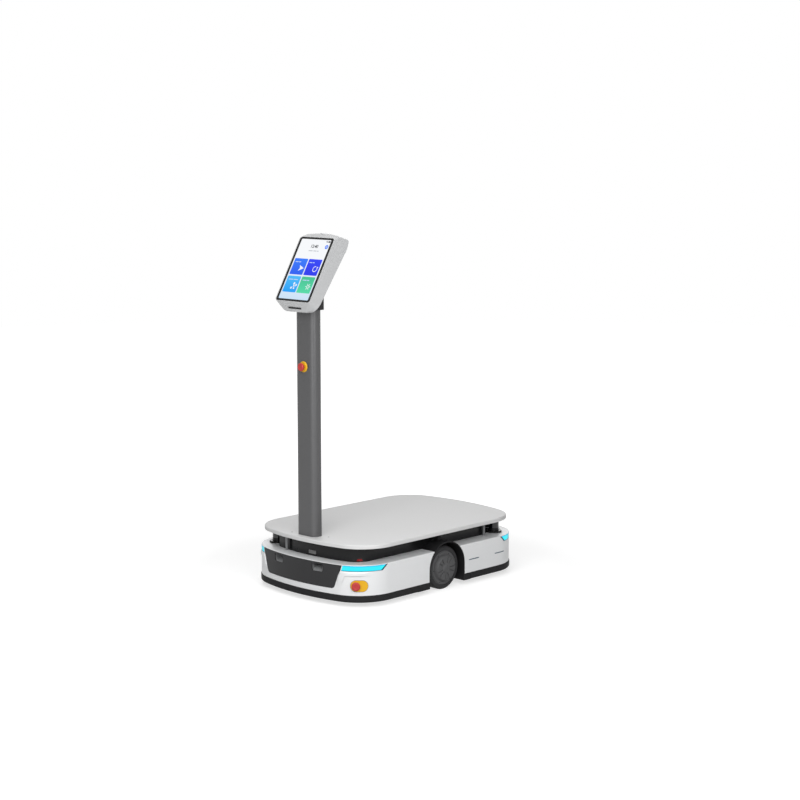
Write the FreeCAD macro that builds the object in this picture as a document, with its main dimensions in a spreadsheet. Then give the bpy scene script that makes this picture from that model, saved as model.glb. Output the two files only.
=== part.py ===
import FreeCAD, Part
import math
import os
import Sketcher

# An industrial transport robot: a low base on two driven wheels and four swivel casters carries a flat load
# deck, and a mast at the front end carries a tilted touch screen.
# Frame: +Z up, the front end faces -Y, origin on the floor under the middle of the base. "right" is +X.

os.makedirs("parts", exist_ok=True)
doc = FreeCAD.newDocument("TransportRobot")
sheet = doc.addObject("Spreadsheet::Sheet", "Sizes")
Vector = FreeCAD.Vector
Constraint = Sketcher.Constraint

# Driving sizes, millimetres and degrees, each written once.
table = {
    # gaps between neighbouring pieces
    "seatGap": 0.3, "runningGap": 0.05,
    # body shell above the bumper: deck, housing, wheels and casters take their places from its outline
    "shellWidth": 566.0, "shellLength": 864.5, "shellBow": 725.0, "shellCorner": 139.0, "shellWall": 4.0,
    "shellTop": 143.0, "shellEdge": 3.0,
    # load deck, set back from the shell's sides and ends
    "deckSide": 4.85, "deckEnd": 17.25, "deckBow": 787.0, "deckCorner": 131.5, "deckThick": 13.4,
    "deckEdge": 4.0,
    # housing that carries the deck, set back from the shell by the ledge
    "ledgeSide": 62.0, "ledgeEnd": 48.25, "coreBow": 700.0, "coreCorner": 66.0, "coreHeight": 52.0,
    "coreWall": 4.0, "coreLap": 12.0, "notchRadius": 72.0,
    # bumper and skirts
    "bumperBottom": 17.0, "bumperTop": 41.0, "bumperProud": 2.2, "bumperThick": 14.0, "bumperEdge": 6.0,
    "bumperSoft": 3.2, "bumperFrontEnd": 137.0, "bumperRearEnd": 126.0,
    # floor pan
    "panBottom": 19.0, "panThick": 4.0, "panRim": 3.0, "panRimTop": 40.0,
    # wheel arch: a half round over two straight legs, reaching in from the shell's side
    "archY": 7.5, "archZ": 80.0, "archRadius": 88.5, "archLiner": 3.0, "archDepth": 61.0,
    "archBackHole": 24.0,
    # driven wheels, set in from the shell's side
    "driveY": 5.0, "driveRadius": 75.0, "driveSetIn": 15.0, "tyreWidth": 36.0, "tyreDepth": 15.0,
    "tyreShoulder": 5.0, "hubDepth": 26.0, "hubBack": 37.0, "hubBevel": 4.0, "coverDepth": 8.0,
    "coverRecess": 43.0, "coverFloor": 3.0, "coverSlope": 3.0, "slotInner": 12.0, "slotOuter": 33.0,
    "slotWidth": 5.0, "slotCount": 10,
    "axleRadius": 7.0, "mountPlate": 8.0, "mountLength": 90.0, "mountReach": 56.0, "mountTop": 112.0,
    "bossRadius": 18.0, "bossLength": 7.0,
    # casters, set in from the shell's side and ends
    "casterSetIn": 118.0, "casterFrontIn": 114.25, "casterRearIn": 132.25, "casterTrail": 22.0,
    "casterRadius": 25.0, "casterTyre": 18.0, "casterHub": 12.5, "casterHeight": 80.0, "casterPlate": 60.0,
    "casterPlateThick": 3.0, "raceRadius": 20.0, "raceDepth": 7.0, "forkGap": 1.2, "forkThick": 2.5,
    "forkCrown": 62.0, "forkCrownRadius": 17.0, "forkAxle": 4.0, "axleProud": 1.0, "legTop": 13.6,
    "legLap": 2.0, "legKnee": 6.0, "legAhead": 8.0, "legBehind": 9.0, "legFoot": 5.0, "legDrop": 7.0,
    "cupRadius": 56.0, "cupWall": 3.0,
    # battery
    "batteryWidth": 210.0, "batteryLength": 260.0, "batteryHeight": 90.0,
    # front and rear panels in the shell, their knee and foot set in from its side
    "panelTop": 141.0, "panelBottom": 59.5, "panelKneeIn": 103.0, "panelKnee": 109.0, "panelFootIn": 120.0,
    "panelRound": 15.0, "panelRecess": 0.6,
    # sensors behind the front panel
    "sensorX": 95.0, "sensorTurn": 7.5, "sensorWidth": 58.0, "sensorHeight": 36.0, "sensorDepth": 24.0,
    "sensorTop": 138.4, "sensorMouth": 46.0, "sensorMouthHeight": 26.0, "sensorFloor": 12.0,
    "sensorWall": 4.0, "sensorSetBack": 1.2, "mouthRound": 8.0,
    # corner lamps, measured along the corner's 45 degree chord from its middle
    "lampTop": 141.0, "lampBottom": 122.3, "lampStartTop": 54.5, "lampStartBottom": 59.7, "lampEndTop": 94.5,
    "lampEndBottom": 77.2, "lampReachIn": 60.0, "lampReachOut": 60.0,
    # corner emergency stop
    "stopZ": 74.0, "stopLength": 58.0, "stopHeight": 37.4, "stopProud": 1.2, "stopButton": 15.0,
    "stopStem": 8.0, "stopLift": 11.0, "stopCap": 6.0,
    # corner scanners, and the pins and rubber pads between body and deck, placed from the housing
    "scannerSide": 7.0, "scannerEnd": 61.0, "scannerRadius": 18.5, "scannerBase": 29.0,
    "scannerBaseThick": 6.0, "pinRadius": 5.0, "pinOffset": 9.0, "pinFrontX": 97.0, "pinEnd": 132.0,
    "padOffset": 19.0, "padWidth": 16.0, "padLength": 13.0,
    # mast, set back from the deck's front end
    "mastSetBack": 24.0, "mastDepth": 46.5, "mastWidth": 90.0, "mastCorner": 20.0, "mastWall": 3.0,
    "mastTop": 970.0, "mastSeat": 3.0,
    "mastStopZ": 780.6, "ringRadius": 18.2, "ringThick": 4.0, "mastButton": 14.0, "mastButtonLift": 13.0,
    "neckWidth": 95.0, "neckGrow": 2.0,
    # head, in its own tilted frame: depth behind the glass and rise along it
    "headBehind": 8.9, "headAbove": 133.4, "headTilt": 29.7, "glassWidth": 162.0, "glassHeight": 234.0,
    "glassThick": 3.0, "glassCorner": 9.0, "headWidth": 169.0, "headBezel": 1.6, "headSpare": 3.0,
    "chinDrop": 140.0, "chinDepth": 31.0, "chinBackDepth": 43.0, "chinBackDrop": 132.0,
    "backLowDepth": 47.0, "backLowDrop": 91.0, "backHighDepth": 65.0, "backHighRise": 112.0,
    "topBackDepth": 57.0, "topBackRise": 151.0, "crownRise": 150.0, "browDepth": 14.0, "browRise": 139.0,
    "headRound": 9.0, "chinRound": 40.0, "footRound": 44.0, "browRound": 14.0, "crownBow": 520.0,
    "glassBow": 6000.0, "backCover": 3.0, "backInset": 5.0,
    "bumpRadius": 25.0, "bumpHeight": 3.0, "bumpSink": 2.0, "bumpDepth": 36.0,
    "slotHalf": 31.0, "slotHigh": 4.6, "slotDrop": 13.4, "slotDeep": 26.0,
}


class Size:
    """A length that knows its number now and the sheet formula it follows."""

    def __init__(self, number, rule):
        self.number = number
        self.rule = rule

    def __add__(self, other):
        other = asSize(other)
        return Size(self.number + other.number, f"({self.rule} + {other.rule})")

    def __sub__(self, other):
        other = asSize(other)
        return Size(self.number - other.number, f"({self.rule} - {other.rule})")

    def __mul__(self, other):
        other = asSize(other)
        return Size(self.number * other.number, f"({self.rule} * {other.rule})")

    def __truediv__(self, other):
        other = asSize(other)
        return Size(self.number / other.number, f"({self.rule} / {other.rule})")

    def __neg__(self):
        return Size(-self.number, f"(0 - {self.rule})")

    def __radd__(self, other):
        return asSize(other) + self

    def __rsub__(self, other):
        return asSize(other) - self

    def __rmul__(self, other):
        return asSize(other) * self


def asSize(value):
    return value if isinstance(value, Size) else Size(float(value), f"{float(value):.6f}")


def root(value):
    return Size(math.sqrt(value.number), f"sqrt({value.rule})")


class Sizes:
    """Gives each named size of the sheet as an attribute."""


size = Sizes()
for row, (word, number) in enumerate(table.items(), 1):
    sheet.set(f"A{row}", word)
    sheet.set(f"B{row}", str(number))
    sheet.setAlias(f"B{row}", word)
    setattr(size, word, Size(float(number), f"Sizes.{word}"))
doc.recompute()


class Form:
    """A plan outline: straight sides, bowed ends, round corners. Insets keep the arcs' centres."""

    def __init__(self, width, length, bow, corner):
        self.side = width / 2
        self.end = length / 2
        self.bow = bow
        self.corner = corner
        self.cornerX = self.side - corner
        self.bowY = self.end - bow
        self.cornerY = self.bowY + root((bow - corner) * (bow - corner) - self.cornerX * self.cornerX)


deckForm = Form(size.shellWidth - size.deckSide * 2, size.shellLength - size.deckEnd * 2, size.deckBow,
                size.deckCorner)
coreForm = Form(size.shellWidth - size.ledgeSide * 2, size.shellLength - size.ledgeEnd * 2, size.coreBow,
                size.coreCorner)
shellForm = Form(size.shellWidth, size.shellLength, size.shellBow, size.shellCorner)

nodes = []


def lampStart(chord):
    """How far from the middle a lamp's inner edge begins, for its place along the corner's chord."""
    inner = size.shellCorner - size.shellWall
    return shellForm.cornerX + (root(inner * inner - chord * chord) - chord) / math.sqrt(2)


def node(thing, label):
    """Marks an object as a finished sub-part and gives it its label."""
    thing.Label = label
    nodes.append(thing)
    return thing


def bind(thing, **rules):
    for word, value in rules.items():
        thing.setExpression(word.replace("_", "."), asSize(value).rule)


def place(thing, x=0, y=0, z=0, axis=None, angle=0):
    """Sets an object's turn, then ties its position to the sheet."""
    if axis is not None:
        thing.Placement = FreeCAD.Placement(Vector(), FreeCAD.Rotation(axis, angle))
    bind(thing, Placement_Base_x=x, Placement_Base_y=y, Placement_Base_z=z)
    return thing


def newBody(label):
    body = doc.addObject("PartDesign::Body", label)
    body.Label = label
    return body


def newSketch(body, name, role, level):
    sketch = body.newObject("Sketcher::SketchObject", name)
    plane = next(item for item in body.Origin.OriginFeatures if item.Role == role)
    sketch.AttachmentSupport = [(plane, "")]
    sketch.MapMode = "FlatFace"
    sketch.setExpression("AttachmentOffset.Base.z", asSize(level).rule)
    return sketch


def dimension(sketch, kind, *where, value):
    """Adds a dimension constraint and ties it to the sheet."""
    value = asSize(value)
    index = sketch.addConstraint(Constraint(kind, *where, value.number))
    name = f"size{index}"
    sketch.renameConstraint(index, name)
    sketch.setExpression(f"Constraints.{name}", value.rule)


def outlineSketch(body, name, form, inset=0, level=0):
    """The plan outline of a form, drawn inwards by an inset: 4 corner arcs, 2 end bows and 2 sides."""
    sketch = newSketch(body, name, "XY_Plane", level)
    inset = asSize(inset)
    side, bow, corner = form.side - inset, form.bow - inset, form.corner - inset
    cx, cy, by = form.cornerX.number, form.cornerY.number, form.bowY.number
    turn = math.atan2(cy - by, cx)

    def line(x, low, high):
        return Part.LineSegment(Vector(x, low, 0), Vector(x, high, 0))

    def arc(x, y, radius, start, end):
        return Part.ArcOfCircle(Part.Circle(Vector(x, y, 0), Vector(0, 0, 1), radius), start, end)

    pieces = [
        line(side.number, -cy, cy), arc(cx, cy, corner.number, 0, turn),
        arc(0, by, bow.number, turn, math.pi - turn), arc(-cx, cy, corner.number, math.pi - turn, math.pi),
        line(-side.number, cy, -cy), arc(-cx, -cy, corner.number, math.pi, math.pi + turn),
        arc(0, -by, bow.number, math.pi + turn, 2 * math.pi - turn), arc(cx, -cy, corner.number, -turn, 0),
    ]
    sketch.addGeometry(pieces, False)
    count = len(pieces)
    sketch.addConstraint([Constraint("Tangent", i, 2, (i + 1) % count, 1) for i in range(count)])
    sketch.addConstraint([Constraint("Vertical", 0), Constraint("Vertical", 4)])
    sketch.addConstraint([Constraint("PointOnObject", 2, 3, -2), Constraint("PointOnObject", 6, 3, -2)])
    dimension(sketch, "DistanceX", -1, 1, 0, 1, value=side)
    dimension(sketch, "DistanceX", -1, 1, 4, 1, value=-side)
    dimension(sketch, "DistanceY", -1, 1, 2, 3, value=form.bowY)
    dimension(sketch, "DistanceY", -1, 1, 6, 3, value=-form.bowY)
    for index in (2, 6):
        dimension(sketch, "Radius", index, value=bow)
    for index in (1, 3, 5, 7):
        dimension(sketch, "Radius", index, value=corner)
    return sketch


def polygonSketch(body, name, role, corners, level=0):
    """A closed polygon whose corners are tied to the sheet."""
    sketch = newSketch(body, name, role, level)
    corners = [(asSize(x), asSize(y)) for x, y in corners]
    points = [Vector(x.number, y.number, 0) for x, y in corners]
    count = len(points)
    sketch.addGeometry([Part.LineSegment(points[i], points[(i + 1) % count]) for i in range(count)], False)
    sketch.addConstraint([Constraint("Coincident", i, 2, (i + 1) % count, 1) for i in range(count)])
    for i, (x, y) in enumerate(corners):
        dimension(sketch, "DistanceX", -1, 1, i, 1, value=x)
        dimension(sketch, "DistanceY", -1, 1, i, 1, value=y)
    return sketch


def rectangleSketch(body, name, role, lowX, lowY, highX, highY, level=0):
    spots = [(lowX, lowY), (highX, lowY), (highX, highY), (lowX, highY)]
    return polygonSketch(body, name, role, spots, level)


def circleSketch(body, name, role, circles, level=0):
    """Circles given as (x, y, radius)."""
    sketch = newSketch(body, name, role, level)
    for i, circle in enumerate(circles):
        x, y, radius = (asSize(value) for value in circle)
        sketch.addGeometry(Part.Circle(Vector(x.number, y.number, 0), Vector(0, 0, 1), radius.number), False)
        dimension(sketch, "DistanceX", -1, 1, i, 3, value=x)
        dimension(sketch, "DistanceY", -1, 1, i, 3, value=y)
        dimension(sketch, "Radius", i, value=radius)
    return sketch


def stadiumSketch(body, name, role, x, y, straight, radius, level=0):
    """Two half circles joined by straight runs along the sketch's x; straight is half the run's length."""
    sketch = newSketch(body, name, role, level)
    x, y, straight, radius = (asSize(value) for value in (x, y, straight, radius))
    left, right, r = x.number - straight.number, x.number + straight.number, radius.number
    up, quarter = y.number, math.pi / 2

    def arc(centre, start, end):
        return Part.ArcOfCircle(Part.Circle(Vector(centre, up, 0), Vector(0, 0, 1), r), start, end)

    sketch.addGeometry([
        Part.LineSegment(Vector(left, up - r, 0), Vector(right, up - r, 0)), arc(right, -quarter, quarter),
        Part.LineSegment(Vector(right, up + r, 0), Vector(left, up + r, 0)), arc(left, quarter, 3 * quarter),
    ], False)
    sketch.addConstraint([Constraint("Tangent", i, 2, (i + 1) % 4, 1) for i in range(4)])
    sketch.addConstraint(Constraint("Horizontal", 0))
    dimension(sketch, "DistanceX", -1, 1, 1, 3, value=x + straight)
    dimension(sketch, "DistanceX", -1, 1, 3, 3, value=x - straight)
    dimension(sketch, "DistanceY", -1, 1, 1, 3, value=y)
    dimension(sketch, "Radius", 1, value=radius)
    return sketch


def archSketch(body, name, radius, foot):
    """A half round over two straight legs, in the side view, closed along its foot."""
    sketch = newSketch(body, name, "YZ_Plane", 0)
    middle, rise = size.archY, size.archZ
    foot, radius = asSize(foot), asSize(radius)
    left, right = middle.number - radius.number, middle.number + radius.number
    top, low = rise.number, foot.number
    circle = Part.Circle(Vector(middle.number, top, 0), Vector(0, 0, 1), radius.number)
    sketch.addGeometry([
        Part.ArcOfCircle(circle, 0, math.pi),
        Part.LineSegment(Vector(left, top, 0), Vector(left, low, 0)),
        Part.LineSegment(Vector(left, low, 0), Vector(right, low, 0)),
        Part.LineSegment(Vector(right, low, 0), Vector(right, top, 0)),
    ], False)
    sketch.addConstraint([Constraint("Tangent", 0, 2, 1, 1), Constraint("Tangent", 3, 2, 0, 1)])
    sketch.addConstraint([Constraint("Coincident", 1, 2, 2, 1), Constraint("Coincident", 2, 2, 3, 1)])
    sketch.addConstraint([Constraint("Vertical", 1), Constraint("Vertical", 3)])
    dimension(sketch, "DistanceX", -1, 1, 0, 3, value=middle)
    dimension(sketch, "DistanceY", -1, 1, 0, 3, value=rise)
    dimension(sketch, "Radius", 0, value=radius)
    dimension(sketch, "DistanceY", -1, 1, 1, 2, value=foot)
    dimension(sketch, "DistanceY", -1, 1, 2, 2, value=foot)
    return sketch


def pad(body, sketch, length, reverse=False, both=False):
    feature = body.newObject("PartDesign::Pad", sketch.Name + "Pad")
    feature.Profile = sketch
    feature.Reversed = reverse
    feature.Midplane = both
    bind(feature, Length=length)
    return feature


def pocket(body, sketch, length, reverse=False, both=False):
    """Cuts a sketch into the body. A cut that takes nothing away stops the build."""
    doc.recompute()
    before = body.Shape.Volume
    feature = body.newObject("PartDesign::Pocket", sketch.Name + "Cut")
    feature.Profile = sketch
    feature.Reversed = reverse
    feature.Midplane = both
    bind(feature, Length=length)
    doc.recompute()
    if body.Shape.Volume > before - 1e-3:
        raise RuntimeError(f"{feature.Name} cuts nothing")
    return feature


def revolve(body, sketch):
    """Turns a profile, drawn with radius along x and height along y, about the height axis."""
    feature = body.newObject("PartDesign::Revolution", sketch.Name + "Turn")
    feature.Profile = sketch
    feature.ReferenceAxis = (sketch, ["V_Axis"])
    feature.Angle = 360
    return feature


def rounded(body, name, feature, radius, wanted):
    """Fillets the edges of a feature that a test picks."""
    doc.recompute()
    edges = [f"Edge{i + 1}" for i, edge in enumerate(feature.Shape.Edges) if wanted(edge)]
    if not edges:
        raise RuntimeError(f"{name} finds no edge")
    fillet = body.newObject("PartDesign::Fillet", name)
    fillet.Base = (feature, edges)
    bind(fillet, Radius=radius)
    doc.recompute()
    return fillet


def flatAt(axis, value, slack=1e-4):
    """Picks edges that lie wholly in a plane across an axis."""
    number = asSize(value).number

    def wanted(edge):
        box = edge.BoundBox
        low, high = getattr(box, axis + "Min"), getattr(box, axis + "Max")
        return abs(low - number) < slack and abs(high - number) < slack

    return wanted


def along(axis, *lines, slack=0.02):
    """Picks straight edges along an axis that pass through given points of the plane across it."""
    others = [letter for letter in "xyz" if letter != axis]
    spots = [(asSize(a).number, asSize(b).number) for a, b in lines]

    def wanted(edge):
        ends = [vertex.Point for vertex in edge.Vertexes]
        if len(ends) != 2:
            return False
        return any(all(abs(getattr(end, others[0]) - a) < slack and abs(getattr(end, others[1]) - b) < slack
                       for end in ends) for a, b in spots)

    return wanted


def combined(kind, label, base, tool):
    """A boolean of two objects: Part::Cut or Part::Common."""
    thing = doc.addObject(kind, label)
    thing.Base = base
    thing.Tool = tool
    return thing


def fused(label, shapes):
    thing = doc.addObject("Part::MultiFuse", label)
    thing.Shapes = shapes
    return thing


def band(label, form, outset, inset, bottom, top):
    """An upright strip that follows a form's outline, from an outset face to an inset face."""
    body = newBody(label)
    height = asSize(top) - bottom
    pad(body, outlineSketch(body, label + "Outer", form, -asSize(outset), bottom), height)
    pocket(body, outlineSketch(body, label + "Inner", form, inset, bottom), height, reverse=True)
    return body


# Heights and reaches that several pieces share
deckBottom = size.shellTop + size.coreHeight
deckTop = deckBottom + size.deckThick
shellSide = shellForm.side
archInner = shellSide - size.archDepth
driveFace = shellSide - size.driveSetIn
mastFront = deckForm.end - size.mastSetBack
scannerX = coreForm.side - size.scannerSide
scannerY = coreForm.end - size.scannerEnd
casterX = shellSide - size.casterSetIn
casterFrontY = shellForm.end - size.casterFrontIn
casterRearY = shellForm.end - size.casterRearIn
panTop = size.panBottom + size.panThick
panInset = size.bumperThick - size.bumperProud + size.seatGap
wheelClear = size.archRadius + size.seatGap


def makeDeck():
    body = newBody("deck")
    plate = pad(body, outlineSketch(body, "deckOutline", deckForm), size.deckThick)
    rounded(body, "deckRim", plate, size.deckEdge, flatAt("Z", size.deckThick))
    # the mast's foot stands in a shallow seat
    side = size.mastWidth / 2 + size.seatGap
    front, back = -mastFront - size.seatGap, size.mastDepth - mastFront + size.seatGap
    seat = rectangleSketch(body, "mastSeat", "XY_Plane", -side, front, side, back, size.deckThick)
    cut = pocket(body, seat, size.mastSeat)
    rounded(body, "mastSeatRound", cut, size.mastCorner + size.seatGap,
            along("z", (-side, front), (side, front), (side, back), (-side, back)))
    place(body, z=deckBottom)
    node(body, "deck")


def makeCoreHousing():
    """The glossy box between body and deck, open underneath, its two scanner corners scooped away."""
    height = size.coreHeight
    block = newBody("coreBlock")
    pad(block, outlineSketch(block, "coreOutline", coreForm), height)
    centres = [(-scannerX, -scannerY), (scannerX, scannerY)]
    scoops = circleSketch(block, "coreScoops", "XY_Plane", [(x, y, size.notchRadius) for x, y in centres])
    pocket(block, scoops, height, reverse=True)
    hollow = newBody("coreHollow")
    pad(hollow, outlineSketch(hollow, "coreInside", coreForm, size.coreWall), height - size.coreWall)
    behind = [(x, y, size.notchRadius + size.coreWall) for x, y in centres]
    pocket(hollow, circleSketch(hollow, "scoopWalls", "XY_Plane", behind), height, reverse=True)
    housing = combined("Part::Cut", "coreHousing", block, hollow)
    place(housing, z=size.shellTop)
    node(housing, "core_housing")


def shellHalf(label, front):
    """One end of the body: a wall and a ledge, cut off at the wheel arches."""
    body = newBody(label)
    height = size.shellTop - size.bumperTop
    solid = pad(body, outlineSketch(body, label + "Outline", shellForm, 0, size.bumperTop), height)
    rounded(body, label + "Edge", solid, size.shellEdge, flatAt("Z", size.shellTop))
    inside = outlineSketch(body, label + "Inside", shellForm, size.shellWall, size.bumperTop)
    pocket(body, inside, height - size.shellWall, reverse=True)
    opening = outlineSketch(body, label + "Opening", coreForm, size.coreLap, size.bumperTop)
    pocket(body, opening, height, reverse=True)
    pocket(body, archSketch(body, label + "Arch", size.archRadius, 0), size.shellWidth * 2, both=True)
    far = size.shellLength
    low, high = (size.archY, far) if front else (-far, size.archY)
    away = rectangleSketch(body, label + "Away", "XY_Plane", -far, low, far, high)
    pocket(body, away, size.shellTop * 2, reverse=True)
    return body


def panelPrism(label, front, grow):
    """The trapezoid that a front or rear panel fills, as a prism through the wall, grown by a gap."""
    body = newBody(label)
    grow = asSize(grow)
    footX, footZ = shellSide - size.panelFootIn + grow, size.panelBottom - grow
    half = [
        (lampStart(size.lampStartTop) - size.seatGap + grow, size.panelTop + grow),
        (lampStart(size.lampStartBottom) - size.seatGap + grow, size.lampBottom),
        (shellSide - size.panelKneeIn + grow, size.panelKnee), (footX, footZ),
    ]
    corners = half + [(-x, z) for x, z in reversed(half)]
    prism = pad(body, polygonSketch(body, label + "Shape", "XZ_Plane", corners), size.shellLength,
                reverse=not front)
    rounded(body, label + "Round", prism, size.panelRound, along("y", (footX, footZ), (-footX, footZ)))
    return body


def cornerWindow(label, corner, grow):
    """The slanted window of a corner lamp, as a prism that points out of its corner."""
    sideX, sideY = corner
    hand = -sideX * sideY
    body = newBody(label)
    grow = asSize(grow)
    shape = [
        (-size.lampStartBottom - grow, size.lampBottom - grow),
        (size.lampEndBottom + grow, size.lampBottom - grow),
        (size.lampEndTop + grow, size.lampTop + grow), (-size.lampStartTop - grow, size.lampTop + grow),
    ]
    shape = [(hand * x, z) for x, z in shape]
    sketch = polygonSketch(body, label + "Shape", "XZ_Plane", shape, size.lampReachIn)
    pad(body, sketch, size.shellCorner + size.lampReachOut - size.lampReachIn)
    # The sketch faces out of its corner: the prism's own -Y turns to the corner's diagonal.
    angle = {(1, -1): 45, (-1, -1): -45, (1, 1): 135, (-1, 1): -135}[corner]
    place(body, sideX * shellForm.cornerX, sideY * shellForm.cornerY, 0, Vector(0, 0, 1), angle)
    return body


def stopWindow(label, grow):
    """The stadium of the corner emergency stop, as a prism out of the front right corner."""
    body = newBody(label)
    radius = size.stopHeight / 2
    sketch = stadiumSketch(body, label + "Shape", "XZ_Plane", 0, size.stopZ, size.stopLength / 2 - radius,
                           radius + grow, size.lampReachIn)
    pad(body, sketch, size.shellCorner + size.lampReachOut - size.lampReachIn)
    place(body, shellForm.cornerX, -shellForm.cornerY, 0, Vector(0, 0, 1), 45)
    return body


corners = {"front_right": (1, -1), "front_left": (-1, -1), "rear_right": (1, 1), "rear_left": (-1, 1)}


def makeShells():
    for end, front in (("front", True), ("rear", False)):
        tools = [panelPrism(end + "PanelCut", front, size.seatGap)]
        for name, corner in corners.items():
            if name.startswith(end):
                tools.append(cornerWindow(name.replace("_", "") + "LampCut", corner, size.seatGap))
        if front:
            tools.append(stopWindow("stopCut", size.seatGap))
        cutter = fused(end + "Openings", tools)
        node(combined("Part::Cut", end + "Shell", shellHalf(end + "Walls", front), cutter), end + "_shell")


def makePanels():
    """Dark panels that fill the trapezoid openings; the front one is open over its two sensors."""
    for end, front in (("front", True), ("rear", False)):
        strip = band(end + "PanelStrip", shellForm, -size.panelRecess, size.shellWall, size.panelBottom,
                     size.panelTop)
        panel = combined("Part::Common", end + "Panel", strip, panelPrism(end + "PanelShape", front, 0))
        if front:
            high = size.sensorTop - size.sensorWall
            low = high - size.sensorMouthHeight
            half = size.sensorMouth / 2
            mouths = []
            for side in (-1, 1):
                mouth = newBody(f"sensorMouth{side + 1}")
                middle = side * size.sensorX
                left, right = middle - half, middle + half
                hole = rectangleSketch(mouth, mouth.Label + "Shape", "XZ_Plane", left, low, right, high)
                prism = pad(mouth, hole, size.shellLength)
                rounded(mouth, mouth.Label + "Round", prism, size.mouthRound,
                        along("y", (left, low), (right, low)))
                mouths.append(mouth)
            panel = combined("Part::Cut", "frontPanelOpen", panel, fused("sensorMouths", mouths))
        node(panel, end + "_panel")


def makeSensors():
    """Boxes behind the front panel, each with a scooped mouth over a sensor window."""
    for name, side in (("left", -1), ("right", 1)):
        body = newBody("sensor" + name)
        half = size.sensorWidth / 2
        bottom = size.sensorTop - size.sensorHeight
        box = rectangleSketch(body, name + "SensorBox", "XZ_Plane", -half, bottom, half, size.sensorTop)
        pad(body, box, size.sensorDepth, reverse=True)
        top = size.sensorTop - size.sensorWall
        # side view of the scoop: a flat roof, a back wall with the window, and a floor that slopes out
        scoop = polygonSketch(body, name + "Scoop", "YZ_Plane", [
            (0, top), (size.sensorDepth - size.sensorWall, top),
            (size.sensorDepth - size.sensorWall, top - size.sensorFloor), (0, top - size.sensorMouthHeight)])
        pocket(body, scoop, size.sensorMouth, both=True)
        across = size.sensorX * size.sensorX
        face = root((size.shellBow - size.shellWall) * (size.shellBow - size.shellWall) - across)
        place(body, side * size.sensorX, -(shellForm.bowY + face) + size.sensorSetBack, 0,
              Vector(0, 0, 1), side * size.sensorTurn.number)
        node(body, "front_sensor_" + name)


def makeLamps():
    for name, corner in corners.items():
        strip = band(name.replace("_", "") + "LampStrip", shellForm, 0, size.shellWall, size.lampBottom,
                     size.lampTop)
        window = cornerWindow(name.replace("_", "") + "LampShape", corner, 0)
        node(combined("Part::Common", name.replace("_", "") + "Lamp", strip, window), "lamp_" + name)


def makeCornerStop():
    strip = band("stopStrip", shellForm, size.stopProud, size.shellWall, size.stopZ - size.stopHeight,
                 size.stopZ + size.stopHeight)
    plate = combined("Part::Common", "stopPlate", strip, stopWindow("stopShape", 0))
    node(plate, "corner_stop_plate")
    # The button stands at the plate's forward half round, square to the shell there.
    offset = size.stopLength / 2 - size.stopHeight / 2
    turn = math.degrees(offset.number / size.shellCorner.number)
    body = newBody("cornerButton")
    button(body, "corner", size.stopButton, size.stopStem, size.stopLift, size.stopCap)
    direction = math.radians(-45 - turn)
    radius = size.shellCorner + size.stopProud + size.seatGap
    outward = Vector(math.cos(direction), math.sin(direction), 0)
    body.Placement = FreeCAD.Placement(Vector(), FreeCAD.Rotation(Vector(0, 0, 1), outward))
    bind(body, Placement_Base_x=shellForm.cornerX + radius * math.cos(direction),
         Placement_Base_y=-shellForm.cornerY + radius * math.sin(direction), Placement_Base_z=size.stopZ)
    node(body, "corner_stop_button")


def button(body, name, radius, stem, lift, cap):
    """A mushroom push button along +Z: a stem, then a cap with a rounded crown."""
    profile = polygonSketch(body, name + "ButtonProfile", "XZ_Plane", [
        (0, 0), (stem, 0), (stem, lift - cap), (radius, lift - cap), (radius, lift - cap / 3),
        (radius - cap / 2, lift), (0, lift)])
    revolve(body, profile)


def makeBumpers():
    for end, front in (("front", True), ("rear", False)):
        label = end + "Bumper"
        body = newBody(label)
        height = size.bumperTop - size.bumperBottom
        outer = outlineSketch(body, label + "Outer", shellForm, -size.bumperProud, size.bumperBottom)
        solid = pad(body, outer, height)
        low, high = flatAt("Z", size.bumperBottom), flatAt("Z", size.bumperTop)
        soft = rounded(body, label + "Low", solid, size.bumperEdge, low)
        rounded(body, label + "High", soft, size.bumperSoft, high)
        inner = outlineSketch(body, label + "Inner", shellForm, size.bumperThick - size.bumperProud,
                              size.bumperBottom)
        pocket(body, inner, height, reverse=True)
        far = size.shellLength
        cut = (-size.bumperFrontEnd, far) if front else (-far, size.bumperRearEnd)
        away = rectangleSketch(body, label + "Away", "XY_Plane", -far, cut[0], far, cut[1])
        pocket(body, away, size.shellTop, reverse=True)
        node(body, end + "_bumper")


def makeSkirts():
    """Plain dark strips that carry the bumper's line on to the wheel arch, two on each side."""
    height = size.bumperTop - size.bumperBottom
    inner = shellSide - (size.bumperThick - size.bumperProud)
    spans = [(-size.bumperFrontEnd + size.seatGap, size.archY - wheelClear),
             (size.archY + wheelClear, size.bumperRearEnd - size.seatGap)]
    for name, side in (("left", -1), ("right", 1)):
        strips = []
        for index, (low, high) in enumerate(spans):
            box = doc.addObject("Part::Box", f"{name}Skirt{index}")
            bind(box, Length=shellSide - inner, Width=high - low, Height=height)
            strips.append(place(box, inner if side > 0 else -shellSide, low, size.bumperBottom))
        node(fused(name + "Skirt", strips), "side_skirt_" + name)


def casterSpot(corner):
    sideX, sideY = corner
    return sideX * casterX, (casterRearY if sideY > 0 else -casterFrontY)


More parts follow.
